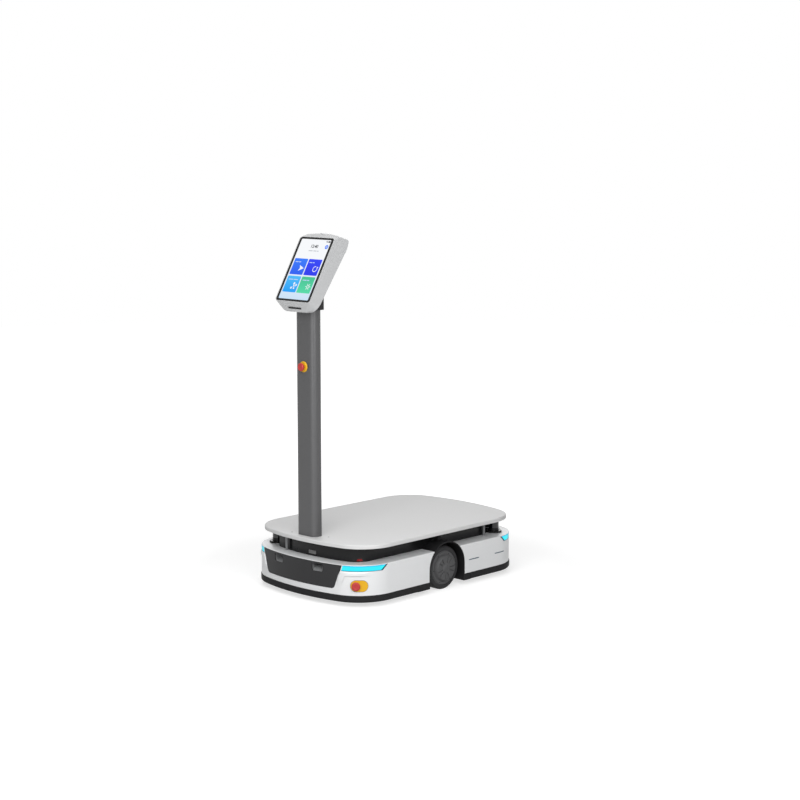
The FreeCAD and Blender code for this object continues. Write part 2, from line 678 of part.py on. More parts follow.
def makePan():
    """A plate and rim, with a round hole for each caster and a notch for each driven wheel."""
    body = newBody("pan")
    outline = outlineSketch(body, "panOutline", shellForm, panInset, size.panBottom)
    pad(body, outline, size.panRimTop - size.panBottom)
    inside = outlineSketch(body, "panInside", shellForm, panInset + size.panRim, panTop)
    pocket(body, inside, size.panRimTop - panTop, reverse=True)
    spots = [casterSpot(corner) for corner in corners.values()]
    holes = circleSketch(body, "panHoles", "XY_Plane", [(x, y, size.cupRadius) for x, y in spots], 0)
    pocket(body, holes, size.panRimTop, reverse=True)
    notch = archInner - size.seatGap
    low, high = size.archY - wheelClear, size.archY + wheelClear
    for name, start, end in (("panNotchRight", notch, shellSide), ("panNotchLeft", -shellSide, -notch)):
        cut = rectangleSketch(body, name, "XY_Plane", start, low, end, high)
        pocket(body, cut, size.shellTop, reverse=True)
    node(body, "floor_pan")


def makeCasterCups():
    """A round cup on the pan over each caster, open below."""
    cups = []
    for name, corner in corners.items():
        x, y = casterSpot(corner)
        cup = newBody(name.replace("_", "") + "Cup")
        outer = size.cupRadius + size.cupWall
        wall = circleSketch(cup, cup.Label + "Wall", "XY_Plane", [(0, 0, outer)], panTop)
        pad(cup, wall, size.casterHeight + size.cupWall - panTop)
        room = circleSketch(cup, cup.Label + "Room", "XY_Plane", [(0, 0, size.cupRadius)], panTop)
        pocket(cup, room, size.casterHeight - panTop, reverse=True)
        cups.append(place(cup, x, y, 0))
    node(fused("casterCups", cups), "caster_cups")


def makeBattery():
    block = doc.addObject("Part::Box", "batteryBlock")
    bind(block, Length=size.batteryWidth, Width=size.batteryLength, Height=size.batteryHeight)
    place(block, -size.batteryWidth / 2, -size.batteryLength / 2, panTop)
    node(block, "battery")


def makeArches():
    """Black liners: a U tunnel over each driven wheel with a closed inner wall."""
    for name, side in (("left", -1), ("right", 1)):
        body = newBody("arch" + name)
        depth = shellSide - archInner
        shape = archSketch(body, name + "ArchOuter", size.archRadius - size.seatGap, size.bumperBottom)
        bind(shape, AttachmentOffset_Base_z=side * archInner)
        pad(body, shape, depth, reverse=side < 0)
        tunnel = archSketch(body, name + "ArchInner", size.archRadius - size.seatGap - size.archLiner, 0)
        bind(tunnel, AttachmentOffset_Base_z=side * (archInner + size.archLiner))
        pocket(body, tunnel, depth, reverse=side > 0)
        hole = circleSketch(body, name + "ArchHole", "YZ_Plane", [(size.driveY, size.driveRadius,
                                                                   size.archBackHole)], side * archInner)
        pocket(body, hole, depth, reverse=side > 0)
        node(body, "wheel_arch_" + name)


def makeDriveWheels():
    """Tyre, hub and slotted cover, turned about the wheel's own axis with the outside up."""
    inner = size.driveRadius - size.tyreDepth
    back = size.tyreWidth
    shoulder = size.tyreShoulder
    rim = inner - size.seatGap
    for name, side in (("left", -1), ("right", 1)):
        tyre = newBody("tyre" + name)
        profile = polygonSketch(tyre, name + "TyreProfile", "XZ_Plane", [
            (inner, -back), (size.driveRadius - shoulder, -back), (size.driveRadius, shoulder - back),
            (size.driveRadius, -shoulder), (size.driveRadius - shoulder, 0), (inner, 0)])
        revolve(tyre, profile)
        hub = newBody("hub" + name)
        low = -size.coverDepth - size.hubDepth
        profile = polygonSketch(hub, name + "HubProfile", "XZ_Plane", [
            (size.axleRadius + size.runningGap, low), (size.hubBack, low), (rim, low + size.hubBevel),
            (rim, -size.coverDepth), (size.axleRadius + size.runningGap, -size.coverDepth)])
        revolve(hub, profile)
        cover = newBody("cover" + name)
        floor = size.coverFloor - size.coverDepth
        profile = polygonSketch(cover, name + "CoverProfile", "XZ_Plane", [
            (0, -size.coverDepth), (rim, -size.coverDepth), (rim, -size.coverSlope / 2),
            (rim - size.coverSlope, 0), (size.coverRecess, 0), (size.coverRecess - size.coverSlope, floor),
            (0, floor)])
        revolve(cover, profile)
        long = (size.slotOuter - size.slotInner - size.slotWidth) / 2
        middle = (size.slotInner + size.slotOuter) / 2
        first = stadiumSketch(cover, name + "Slot", "XY_Plane", middle, 0, long, size.slotWidth / 2,
                              -size.coverDepth)
        cut = pocket(cover, first, size.coverDepth, reverse=True)
        ring = cover.newObject("PartDesign::PolarPattern", name + "Slots")
        ring.Originals = [cut]
        axis = next(item for item in cover.Origin.OriginFeatures if item.Role == "Z_Axis")
        ring.Axis = (axis, [""])
        ring.Angle = 360
        bind(ring, Occurrences=size.slotCount)
        cover.Tip = ring
        for piece, label in ((tyre, "drive_tyre_"), (hub, "drive_hub_"), (cover, "drive_cover_")):
            place(piece, side * driveFace, size.driveY, size.driveRadius, Vector(0, 1, 0), side * 90)
            node(piece, label + name)


def makeDriveMounts():
    """Angle brackets on the pan, each with a boss and the axle that its wheel turns on."""
    for name, side in (("left", -1), ("right", 1)):
        body = newBody("mount" + name)
        face = archInner - size.seatGap - size.bossLength
        shape = polygonSketch(body, name + "MountShape", "XZ_Plane", [
            (side * (face - size.mountReach), panTop), (side * face, panTop), (side * face, size.mountTop),
            (side * (face - size.mountPlate), size.mountTop),
            (side * (face - size.mountPlate), panTop + size.mountPlate),
            (side * (face - size.mountReach), panTop + size.mountPlate)], -size.driveY)
        pad(body, shape, size.mountLength, both=True)
        y, z = size.driveY, size.driveRadius
        boss = circleSketch(body, name + "Boss", "YZ_Plane", [(y, z, size.bossRadius)], side * face)
        pad(body, boss, size.bossLength + size.archLiner + size.seatGap, reverse=side < 0)
        axle = circleSketch(body, name + "Axle", "YZ_Plane", [(y, z, size.axleRadius)], side * face)
        tip = driveFace - size.coverDepth - size.seatGap
        pad(body, axle, tip - face, reverse=side < 0)
        node(body, "drive_mount_" + name)


def makeCasterPlates():
    """One square plate and bearing race over each caster, under the roof of its cup."""
    plates = []
    for name, corner in corners.items():
        x, y = casterSpot(corner)
        body = newBody(name.replace("_", "") + "Plate")
        half = size.casterPlate / 2
        square = rectangleSketch(body, body.Label + "Square", "XY_Plane", -half, -half, half, half,
                                 size.casterHeight - size.casterPlateThick)
        pad(body, square, size.casterPlateThick)
        race = circleSketch(body, body.Label + "Race", "XY_Plane", [(0, 0, size.raceRadius)],
                            size.casterHeight - size.casterPlateThick - size.raceDepth)
        pad(body, race, size.raceDepth)
        plates.append(place(body, x, y, 0))
    node(fused("casterPlates", plates), "caster_plates")


def makeCasters():
    """Forks that swivel under their races, and wheels that trail behind the swivel."""
    half = size.casterTyre / 2
    legIn = half + size.forkGap
    legOut = legIn + size.forkThick
    crownTop = size.casterHeight - size.casterPlateThick - size.raceDepth - size.seatGap
    legHigh = size.forkCrown + size.legLap
    kneeHigh = size.casterRadius + size.legKnee
    footLow = size.casterRadius - size.legDrop
    for name, corner in corners.items():
        x, y = casterSpot(corner)
        label = name.replace("_", "")
        fork = newBody(label + "Fork")
        disc = [(0, 0, size.forkCrownRadius)]
        crown = circleSketch(fork, label + "Crown", "XY_Plane", disc, size.forkCrown)
        pad(fork, crown, crownTop - size.forkCrown)
        for side in (-1, 1):
            # side view of a leg: wide under the crown, narrowing to the axle
            leg = polygonSketch(fork, f"{label}Leg{side + 1}", "YZ_Plane", [
                (-size.legTop, legHigh), (size.legTop, legHigh),
                (size.casterTrail + size.legAhead, kneeHigh), (size.casterTrail + size.legFoot, footLow),
                (size.casterTrail - size.legFoot, footLow), (size.casterTrail - size.legBehind, kneeHigh)],
                side * legIn)
            pad(fork, leg, size.forkThick, reverse=side < 0)
        axle = circleSketch(fork, label + "Axle", "YZ_Plane", [(size.casterTrail, size.casterRadius,
                                                                size.forkAxle)], 0)
        pad(fork, axle, (legOut + size.axleProud) * 2, both=True)
        place(fork, x, y, 0)
        node(fork, "caster_fork_" + name)
        wheel = newBody(label + "Wheel")
        bore = size.forkAxle + size.runningGap
        edge = half / 3
        profile = polygonSketch(wheel, label + "WheelProfile", "XZ_Plane", [
            (bore, -half), (size.casterHub, -half), (size.casterRadius - edge, edge - half),
            (size.casterRadius, -edge), (size.casterRadius, edge), (size.casterRadius - edge, half - edge),
            (size.casterHub, half), (bore, half)])
        revolve(wheel, profile)
        place(wheel, x, y + size.casterTrail, size.casterRadius, Vector(0, 1, 0), 90)
        node(wheel, "caster_wheel_" + name)


def makeScanners():
    """Round scanners on the ledge in the two scooped corners of the core housing."""
    for name, side in (("front", -1), ("rear", 1)):
        body = newBody(name + "Scanner")
        base = circleSketch(body, name + "ScannerBase", "XY_Plane", [(0, 0, size.scannerBase)])
        pad(body, base, size.scannerBaseThick)
        drum = circleSketch(body, name + "ScannerDrum", "XY_Plane", [(0, 0, size.scannerRadius)])
        pad(body, drum, size.coreHeight)
        place(body, side * scannerX, side * scannerY, size.shellTop)
        node(body, "scanner_" + name)


def makePins():
    """Four slim pins between ledge and deck, and two rubber stops over the wheel arches."""
    side = coreForm.side + size.pinOffset
    beside = coreForm.end - size.pinEnd
    bulge = root(size.coreBow * size.coreBow - size.pinFrontX * size.pinFrontX)
    ahead = coreForm.bowY + size.pinOffset + bulge
    spots = [(-size.pinFrontX, -ahead), (size.pinFrontX, ahead), (side, beside), (-side, -beside)]
    pins = []
    for index, (x, y) in enumerate(spots):
        pin = doc.addObject("Part::Cylinder", f"pin{index}")
        bind(pin, Radius=size.pinRadius, Height=size.coreHeight)
        pins.append(place(pin, x, y, size.shellTop))
    node(fused("deckPins", pins), "deck_pins")
    stops = []
    bottom = size.archZ + size.archRadius
    for index, hand in enumerate((-1, 1)):
        stop = doc.addObject("Part::Box", f"deckStop{index}")
        bind(stop, Length=size.padLength, Width=size.padWidth, Height=deckBottom - bottom)
        x = hand * (coreForm.side + size.padOffset) - size.padLength / 2
        stops.append(place(stop, x, size.archY - size.padWidth / 2, bottom))
    node(fused("deckStops", stops), "deck_stops")


def makeMast():
    tube = newBody("mastTube")
    half, corner = size.mastWidth / 2, size.mastCorner
    back = size.mastDepth - mastFront
    outer = rectangleSketch(tube, "mastOuter", "XY_Plane", -half, -mastFront, half, back)
    foot = deckTop - size.mastSeat
    column = pad(tube, outer, size.mastTop - foot)
    rounded(tube, "mastRound", column, corner, along("z", (-half, -mastFront), (half, -mastFront),
                                                     (half, back), (-half, back)))
    hollow = newBody("mastHollow")
    wall = size.mastWall
    inner = rectangleSketch(hollow, "mastInner", "XY_Plane", -half + wall, -mastFront + wall, half - wall,
                            back - wall)
    void = pad(hollow, inner, size.mastTop - foot)
    inside = [(x, y) for x in (wall - half, half - wall) for y in (wall - mastFront, back - wall)]
    rounded(hollow, "hollowRound", void, corner - wall, along("z", *inside))
    mast = combined("Part::Cut", "mastPost", tube, hollow)
    place(mast, z=foot)
    node(mast, "mast")
    ring = newBody("mastRing")
    edge = size.ringThick / 3
    profile = polygonSketch(ring, "ringProfile", "XZ_Plane", [
        (0, 0), (size.ringRadius, 0), (size.ringRadius, size.ringThick - edge),
        (size.ringRadius - edge, size.ringThick), (0, size.ringThick)])
    revolve(ring, profile)
    place(ring, 0, -mastFront, size.mastStopZ, Vector(1, 0, 0), 90)
    node(ring, "mast_stop_ring")
    knob = newBody("mastKnob")
    button(knob, "mast", size.mastButton, size.stopStem, size.mastButtonLift, size.stopCap)
    place(knob, 0, -mastFront - size.ringThick, size.mastStopZ, Vector(1, 0, 0), 90)
    node(knob, "mast_stop_button")


tilt = math.radians(table["headTilt"])


def worldFromHead(depth, rise):
    """A point of the tilted head, as (y, z) of the whole robot."""
    depth, rise = asSize(depth), asSize(rise)
    y = size.headBehind - mastFront + depth * math.cos(tilt) + rise * math.sin(tilt)
    z = size.mastTop + size.headAbove - depth * math.sin(tilt) + rise * math.cos(tilt)
    return y, z


def placeHead(body, depth=0, rise=0):
    y, z = worldFromHead(depth, rise)
    return place(body, 0, y, z, Vector(1, 0, 0), -table["headTilt"])


# Side view of the head behind the glass: (depth, rise) of each corner, from the front foot round the chin.
# Its front and top stand a little outside the lofted form, which gives the head its surface there.
glassHalf = size.glassHeight / 2
headHalf = glassHalf + size.headBezel
headSide = {
    "frontFoot": (0, -headHalf - size.headSpare),
    "chin": (size.chinDepth, -size.chinDrop - size.headSpare),
    "chinBack": (size.chinBackDepth, -size.chinBackDrop),
    "backLow": (size.backLowDepth, -size.backLowDrop),
    "backHigh": (size.backHighDepth, size.backHighRise),
    "topBack": (size.topBackDepth, size.topBackRise),
    "frontHead": (0, size.browRise + size.headSpare),
}


def headSection(body, name, depth, low, high, lowRound, highRound, bow):
    """The head's outline at one depth: straight sides and foot, round corners and a bowed top."""
    sketch = newSketch(body, name, "XZ_Plane", -asSize(depth))
    values = (size.headWidth / 2, low, high, lowRound, highRound, bow)
    half, low, high, lowRound, highRound, bow = (asSize(value) for value in values)
    x, foot, top, a, b, r = (value.number for value in (half, low, high, lowRound, highRound, bow))
    middle = top - r
    shoulder = middle + math.sqrt((r - b) ** 2 - (x - b) ** 2)
    turn, quarter = math.atan2(shoulder - middle, x - b), math.pi / 2

    def line(startX, startY, endX, endY):
        return Part.LineSegment(Vector(startX, startY, 0), Vector(endX, endY, 0))

    def arc(centreX, centreY, radius, start, end):
        circle = Part.Circle(Vector(centreX, centreY, 0), Vector(0, 0, 1), radius)
        return Part.ArcOfCircle(circle, start, end)

    pieces = [
        line(a - x, foot, x - a, foot), arc(x - a, foot + a, a, -quarter, 0), line(x, foot + a, x, shoulder),
        arc(x - b, shoulder, b, 0, turn), arc(0, middle, r, turn, math.pi - turn),
        arc(b - x, shoulder, b, math.pi - turn, math.pi), line(-x, shoulder, -x, foot + a),
        arc(a - x, foot + a, a, math.pi, 3 * quarter),
    ]
    sketch.addGeometry(pieces, False)
    count = len(pieces)
    sketch.addConstraint([Constraint("Tangent", i, 2, (i + 1) % count, 1) for i in range(count)])
    sketch.addConstraint([Constraint("Horizontal", 0), Constraint("Vertical", 2), Constraint("Vertical", 6)])
    sketch.addConstraint(Constraint("PointOnObject", 4, 3, -2))
    dimension(sketch, "DistanceY", -1, 1, 0, 1, value=low)
    dimension(sketch, "DistanceX", -1, 1, 2, 1, value=half)
    dimension(sketch, "DistanceX", -1, 1, 6, 1, value=-half)
    dimension(sketch, "DistanceY", -1, 1, 4, 3, value=high - bow)
    dimension(sketch, "Radius", 4, value=bow)
    for indexes, radius in (((1, 7), lowRound), ((3, 5), highRound)):
        for index in indexes:
            dimension(sketch, "Radius", index, value=radius)
    return sketch


crownClimb = (size.crownRise - size.browRise) / (size.topBackDepth - size.browDepth)


def crownAt(depth):
    """How high the middle of the head's top lies at a depth behind its brow."""
    return size.browRise + (depth - size.browDepth) * crownClimb


def makeHeadForm():
    """The head's block: outlines that grow from the glass to the chin and the back, under the side view."""
    form = newBody("headForm")
    back = size.backHighDepth + size.headSpare
    corner = size.glassCorner + size.headBezel
    share = size.browDepth / size.chinDepth
    browFoot = headHalf + (size.chinDrop - headHalf) * share
    browCorner = corner + (size.chinRound - corner) * share
    crown = (size.browRound, size.crownBow)
    sections = [
        headSection(form, "headFront", 0, -headHalf, headHalf, corner, corner, size.glassBow),
        headSection(form, "headBrow", size.browDepth, -browFoot, size.browRise, browCorner, *crown),
        headSection(form, "headChin", size.chinDepth, -size.chinDrop, crownAt(size.chinDepth),
                    size.chinRound, *crown),
        headSection(form, "headBack", back, -size.chinDrop, crownAt(back), size.footRound, *crown),
    ]
    loft = form.newObject("PartDesign::AdditiveLoft", "headLoft")
    loft.Profile = sections[0]
    loft.Sections = sections[1:]
    loft.Ruled = True
    side = newBody("headProfile")
    outline = polygonSketch(side, "headOutline", "YZ_Plane", list(headSide.values()))
    block = pad(side, outline, size.headWidth + size.headSpare * 2, both=True)
    rounded(side, "headBends", block, size.headRound,
            along("x", headSide["topBack"], headSide["backHigh"], headSide["chinBack"]))
    return combined("Part::Common", "headBlock", form, side)


def makeHead():
    block = makeHeadForm()
    seat = newBody("glassSeat")
    reach = glassHalf + size.seatGap
    across = size.glassWidth / 2 + size.seatGap
    shape = rectangleSketch(seat, "glassSeatShape", "XZ_Plane", -across, -reach, across, reach)
    room = pad(seat, shape, size.glassThick + size.seatGap, reverse=True)
    rounded(seat, "glassSeatRound", room, size.glassCorner,
            along("y", (-across, -reach), (across, -reach), (across, reach), (-across, reach)))
    chin = newBody("chinSlot")
    slot = stadiumSketch(chin, "chinSlotShape", "XZ_Plane", 0, -headHalf - size.slotDrop, size.slotHalf,
                         size.slotHigh / 2)
    pad(chin, slot, size.slotDeep, reverse=True)
    # A low round cap sits in a seat in the bowed top.
    turn = math.degrees(math.atan(crownClimb.number))
    well = doc.addObject("Part::Cylinder", "capWell")
    bind(well, Radius=size.bumpRadius + size.seatGap, Height=size.bumpSink + size.headSpare)
    level = crownAt(size.bumpDepth) - size.bumpSink
    place(well, 0, size.bumpDepth, level, Vector(1, 0, 0), turn)
    housing = combined("Part::Cut", "headShell", block, fused("headOpenings", [seat, chin, well]))
    placeHead(housing)
    node(housing, "head_housing")
    cap = newBody("topCap")
    edge = size.bumpHeight / 3
    high = size.bumpHeight + size.bumpSink
    profile = polygonSketch(cap, "capProfile", "XZ_Plane", [
        (0, 0), (size.bumpRadius, 0), (size.bumpRadius, high - edge * 2), (size.bumpRadius - edge * 5, high),
        (0, high)])
    revolve(cap, profile)
    y, z = worldFromHead(size.bumpDepth, level)
    place(cap, 0, y, z, Vector(1, 0, 0), turn - table["headTilt"])
    node(cap, "head_top_cap")


def makeScreen():
    glass = newBody("screen")
    half = size.glassWidth / 2
    sheetShape = rectangleSketch(glass, "glassShape", "XZ_Plane", -half, -glassHalf, half, glassHalf)
    plate = pad(glass, sheetShape, size.glassThick, reverse=True)
    spots = [(x * half, z * glassHalf) for x in (-1, 1) for z in (-1, 1)]
    rounded(glass, "glassRound", plate, size.glassCorner, along("y", *spots))
    placeHead(glass)
    node(glass, "screen_glass")


def makeBackCover():
    """A thin cover on the housing's sloping back."""
    low, high = headSide["backLow"], headSide["backHigh"]
    rear = newBody("backCover")
    gap, thick = size.seatGap, size.backCover
    slope = (size.backHighDepth - size.backLowDepth) / (size.backHighRise + size.backLowDrop)
    start, end = low[0] + size.backInset * slope + gap, high[0] - size.backInset * slope + gap
    outline = polygonSketch(rear, "backOutline", "YZ_Plane", [
        (start, low[1] + size.backInset), (start + thick, low[1] + size.backInset),
        (end + thick, high[1] - size.backInset), (end, high[1] - size.backInset)])
    pad(rear, outline, size.headWidth - size.backInset * 2, both=True)
    placeHead(rear)
    node(rear, "head_back_cover")


def makeNeck():
    """The collar between the mast's top and the head's sloping back."""
    body = newBody("neckCollar")
    gap = size.backCover + size.seatGap * 2
    lowY, lowZ = worldFromHead(size.backLowDepth + gap, -size.backLowDrop)
    highY, highZ = worldFromHead(size.backHighDepth + gap, size.backHighRise)
    slope = (highZ - lowZ) / (highY - lowY)
    chinY, chinZ = worldFromHead(size.chinBackDepth + gap, -size.chinBackDrop)
    front = -mastFront - size.neckGrow
    back = size.mastDepth - mastFront + size.neckGrow
    chinSlope = (lowZ - chinZ) / (lowY - chinY)
    outline = polygonSketch(body, "neckOutline", "YZ_Plane", [
        (front, size.mastTop), (back, size.mastTop), (back, lowZ + (back - lowY) * slope), (lowY, lowZ),
        (front, chinZ + (front - chinY) * chinSlope)])
    pad(body, outline, size.neckWidth, both=True)
    node(body, "neck_collar")


makeDeck()
makeCoreHousing()
makeShells()
makePanels()
makeSensors()
makeLamps()
makeCornerStop()
makeBumpers()
makeSkirts()
makePan()
makeCasterCups()
makeBattery()
makeArches()
makeDriveWheels()
makeDriveMounts()
makeCasterPlates()
makeCasters()
makeScanners()
makePins()
makeMast()
makeHead()
makeScreen()
makeBackCover()
makeNeck()
doc.recompute()

for item in doc.Objects:
    if any(word in state for state in item.State for word in ("Invalid", "Error")):
        raise RuntimeError(f"{item.Label} failed: {item.State}")
for item in nodes:
    if item.Shape.isNull() or not item.Shape.isValid():
        raise RuntimeError(f"{item.Label} has no valid shape")
    item.Shape.exportStep(f"parts/{item.Label}.step")
print(len(nodes), "sub-parts written")
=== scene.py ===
import bmesh
import bpy
import math
from mathutils import Matrix, Vector


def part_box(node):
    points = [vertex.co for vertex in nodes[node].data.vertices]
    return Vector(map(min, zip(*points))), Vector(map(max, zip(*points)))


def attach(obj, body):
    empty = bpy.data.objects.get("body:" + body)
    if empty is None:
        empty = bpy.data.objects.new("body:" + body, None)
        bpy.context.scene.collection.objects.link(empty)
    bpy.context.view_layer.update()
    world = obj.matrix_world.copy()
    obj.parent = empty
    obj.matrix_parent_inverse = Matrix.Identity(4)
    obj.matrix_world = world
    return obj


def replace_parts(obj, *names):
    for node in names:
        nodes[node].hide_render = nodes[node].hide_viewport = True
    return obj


# Looks of the transport robot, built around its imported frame. Metres, +Z up, the mast end faces -Y.

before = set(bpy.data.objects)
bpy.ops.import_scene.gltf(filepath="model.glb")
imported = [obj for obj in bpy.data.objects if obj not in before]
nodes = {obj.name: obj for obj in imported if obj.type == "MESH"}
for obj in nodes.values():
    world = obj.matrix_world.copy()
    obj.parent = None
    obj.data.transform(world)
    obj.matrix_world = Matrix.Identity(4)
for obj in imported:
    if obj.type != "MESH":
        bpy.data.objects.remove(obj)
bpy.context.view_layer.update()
mm = 0.001
print("frame loaded")


# Small helpers for working by hand in code

def pick(*pieces):
    bpy.ops.object.select_all(action="DESELECT")
    for piece in pieces:
        piece.select_set(True)
    bpy.context.view_layer.objects.active = pieces[0]
    return pieces[0]


def named(name):
    # the object that an operator has just added
    piece = bpy.context.active_object
    piece.name = name
    piece.data.name = name
    return piece


def startEdit(piece, kind="FACE"):
    pick(piece)
    bpy.ops.object.mode_set(mode="EDIT")
    bpy.ops.mesh.select_mode(type=kind)
    bpy.ops.mesh.select_all(action="DESELECT")


def selectFaces(piece, wanted):
    # wanted gets a face and says yes or no
    mesh = bmesh.from_edit_mesh(piece.data)
    mesh.faces.ensure_lookup_table()
    for face in mesh.faces:
        face.select_set(bool(wanted(face)))
    mesh.select_flush_mode()
    bmesh.update_edit_mesh(piece.data)


def selectEdges(piece, wanted):
    mesh = bmesh.from_edit_mesh(piece.data)
    for edge in mesh.edges:
        edge.select_set(bool(wanted(edge)))
    mesh.select_flush_mode()
    bmesh.update_edit_mesh(piece.data)


def endEdit():
    bpy.ops.object.mode_set(mode="OBJECT")


def useModifier(piece, kind, **settings):
    pick(piece)
    modifier = piece.modifiers.new(kind.lower(), kind)
    for word, value in settings.items():
        setattr(modifier, word, value)
    bpy.ops.object.modifier_apply(modifier=modifier.name)


def softenEdges(piece, width, segments=2, angle=40):
    useModifier(piece, "BEVEL", width=width, segments=segments, limit_method="ANGLE",
                angle_limit=math.radians(angle), harden_normals=False)


def joinPieces(name, pieces):
    pick(*pieces)
    if len(pieces) > 1:
        bpy.ops.object.join()
    return named(name)


def copyAt(piece, matrix):
    # a copy with its own mesh, moved by a matrix
    twin = piece.copy()
    twin.data = piece.data.copy()
    bpy.context.scene.collection.objects.link(twin)
    twin.data.transform(matrix)
    return twin


def settle(piece, matrix=None):
    # puts the piece's place into its mesh
    pick(piece)
    bpy.ops.object.transform_apply(location=True, rotation=True, scale=True)
    if matrix is not None:
        piece.data.transform(matrix)
    piece.data.update()
    return piece


def finishPiece(piece, body, material, smooth=35):
    pick(piece)
    bpy.ops.object.shade_smooth_by_angle(angle=math.radians(smooth))
    piece.data.materials.clear()
    piece.data.materials.append(material)
    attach(piece, body)
    return piece


def place(x, y, z, axis="Z", angle=0):
    return Matrix.Translation((x, y, z)) @ Matrix.Rotation(math.radians(angle), 4, axis)


def mirrorOf(axis):
    return Matrix.Scale(-1, 4, Vector([float(letter == axis) for letter in "XYZ"]))


def outwards(piece):
    # turns every face outwards, once doubles are merged
    startEdit(piece)
    bpy.ops.mesh.select_all(action="SELECT")
    bpy.ops.mesh.remove_doubles(threshold=1e-6)
    bpy.ops.mesh.normals_make_consistent(inside=False)
    endEdit()
    return piece


def turned(name, steps, sides=48):
    # a lathe shape from (radius, height) steps in millimetres, closed at both ends
    radius, height = steps[0]
    bpy.ops.mesh.primitive_circle_add(vertices=sides, radius=radius * mm, fill_type="NGON",
                                      location=(0, 0, height * mm))
    piece = settle(named(name))
    startEdit(piece)
    bpy.ops.mesh.select_all(action="SELECT")
    for newRadius, newHeight in steps[1:]:
        rise = (newHeight - height) * mm
        bpy.ops.mesh.extrude_region_move(TRANSFORM_OT_translate={"value": (0, 0, rise)})
        bpy.ops.transform.resize(value=(newRadius / radius, newRadius / radius, 1))
        radius, height = newRadius, newHeight
    endEdit()
    return outwards(piece)


def roundedPlate(name, x, y, width, height, corner, low, high, steps=6):
    # a plate with round corners, lying between two levels
    bpy.ops.mesh.primitive_plane_add(size=1.0, location=(x * mm, y * mm, low * mm))
    piece = named(name)
    piece.scale = (width * mm, height * mm, 1.0)
    settle(piece)
    startEdit(piece, "VERT")
    bpy.ops.mesh.select_all(action="SELECT")
    bpy.ops.mesh.bevel(affect="VERTICES", offset=min(corner, width / 2.001, height / 2.001) * mm, segments=steps)
    bpy.ops.mesh.select_all(action="SELECT")
    bpy.ops.mesh.extrude_region_move(TRANSFORM_OT_translate={"value": (0, 0, (high - low) * mm)})
    endEdit()
    return outwards(piece)


def flatShape(name, spots, low, high):
    # a flat piece with the given corners: a circle's points, each moved to its spot
    bpy.ops.mesh.primitive_circle_add(vertices=len(spots), radius=mm, fill_type="NGON", location=(0, 0, low * mm))
    piece = settle(named(name))
    startEdit(piece, "VERT")
    mesh = bmesh.from_edit_mesh(piece.data)
    mesh.verts.ensure_lookup_table()
    for vert, (x, y) in zip(mesh.verts, spots):
        vert.co.x, vert.co.y = x * mm, y * mm
    bmesh.update_edit_mesh(piece.data)
    bpy.ops.mesh.select_all(action="SELECT")
    bpy.ops.mesh.extrude_region_move(TRANSFORM_OT_translate={"value": (0, 0, (high - low) * mm)})
    endEdit()
    return outwards(piece)


def flatDisc(name, x, y, radius, low, high, sides=32, turn=0.0, squeeze=1.0):
    bpy.ops.mesh.primitive_circle_add(vertices=sides, radius=radius * mm, fill_type="NGON",
                                      location=(x * mm, y * mm, low * mm))
    piece = named(name)
    piece.scale = (squeeze, 1.0, 1.0)
    piece.rotation_euler = (0, 0, math.radians(turn))
    settle(piece)
    startEdit(piece)
    bpy.ops.mesh.select_all(action="SELECT")
    bpy.ops.mesh.extrude_region_move(TRANSFORM_OT_translate={"value": (0, 0, (high - low) * mm)})
    endEdit()
    return outwards(piece)


def ringOf(piece, wide):
    # opens a flat plate into a ring of a given width
    startEdit(piece)
    selectFaces(piece, lambda face: abs(face.normal.z) > 0.9)
    bpy.ops.mesh.inset(thickness=wide * mm, depth=0, use_individual=True)
    bpy.ops.mesh.delete(type="FACE")
    bpy.ops.mesh.select_mode(type="EDGE")
    selectEdges(piece, lambda edge: edge.is_boundary)
    bpy.ops.mesh.bridge_edge_loops()
    endEdit()
    return outwards(piece)


def sliced(piece, axis, low, high, step):
    # cuts the piece across an axis at even places, so that it can bend
    along = Vector([float(letter == axis) for letter in "XYZ"])
    startEdit(piece)
    for index in range(1, math.ceil((high - low) / step)):
        bpy.ops.mesh.select_all(action="SELECT")
        bpy.ops.mesh.bisect(plane_co=along * (low + index * step) * mm, plane_no=along)
    endEdit()
    return piece


# Materials. Each look is a colour as it should render, how metallic, how rough, and its grain.

def linear(shade):
    return shade / 12.92 if shade <= 0.04045 else ((shade + 0.055) / 1.055) ** 2.4


def colour(red, green, blue):
    return (linear(red / 255), linear(green / 255), linear(blue / 255), 1.0)


def link(tree, source, target):
    tree.links.new(source, target)
    return target


def noiseFrom(tree, scale, detail=2.0, stretch=None):
    coords = tree.nodes.new("ShaderNodeTexCoord")
    noise = tree.nodes.new("ShaderNodeTexNoise")
    noise.inputs["Scale"].default_value = scale
    noise.inputs["Detail"].default_value = detail
    if stretch is None:
        link(tree, coords.outputs["Object"], noise.inputs["Vector"])
    else:
        mapping = tree.nodes.new("ShaderNodeMapping")
        mapping.inputs["Scale"].default_value = stretch
        link(tree, coords.outputs["Object"], mapping.inputs["Vector"])
        link(tree, mapping.outputs["Vector"], noise.inputs["Vector"])
    return noise.outputs["Fac"]


def rangeOf(tree, value, low, high, newLow, newHigh):
    node = tree.nodes.new("ShaderNodeMapRange")
    for socket, number in zip(("From Min", "From Max", "To Min", "To Max"), (low, high, newLow, newHigh)):
        node.inputs[socket].default_value = number
    link(tree, value, node.inputs["Value"])
    return node.outputs["Result"]


def mixColours(tree, share, first, second):
    node = tree.nodes.new("ShaderNodeMix")
    node.data_type = "RGBA"
    link(tree, share, node.inputs["Factor"])
    for socket, shade in ((6, first), (7, second)):
        if isinstance(shade, bpy.types.NodeSocket):
            link(tree, shade, node.inputs[socket])
        else:
            node.inputs[socket].default_value = shade
    return node.outputs[2]


def scaled(shade, factor):
    return tuple(min(1.0, part * factor) for part in shade[:3]) + (1.0,)


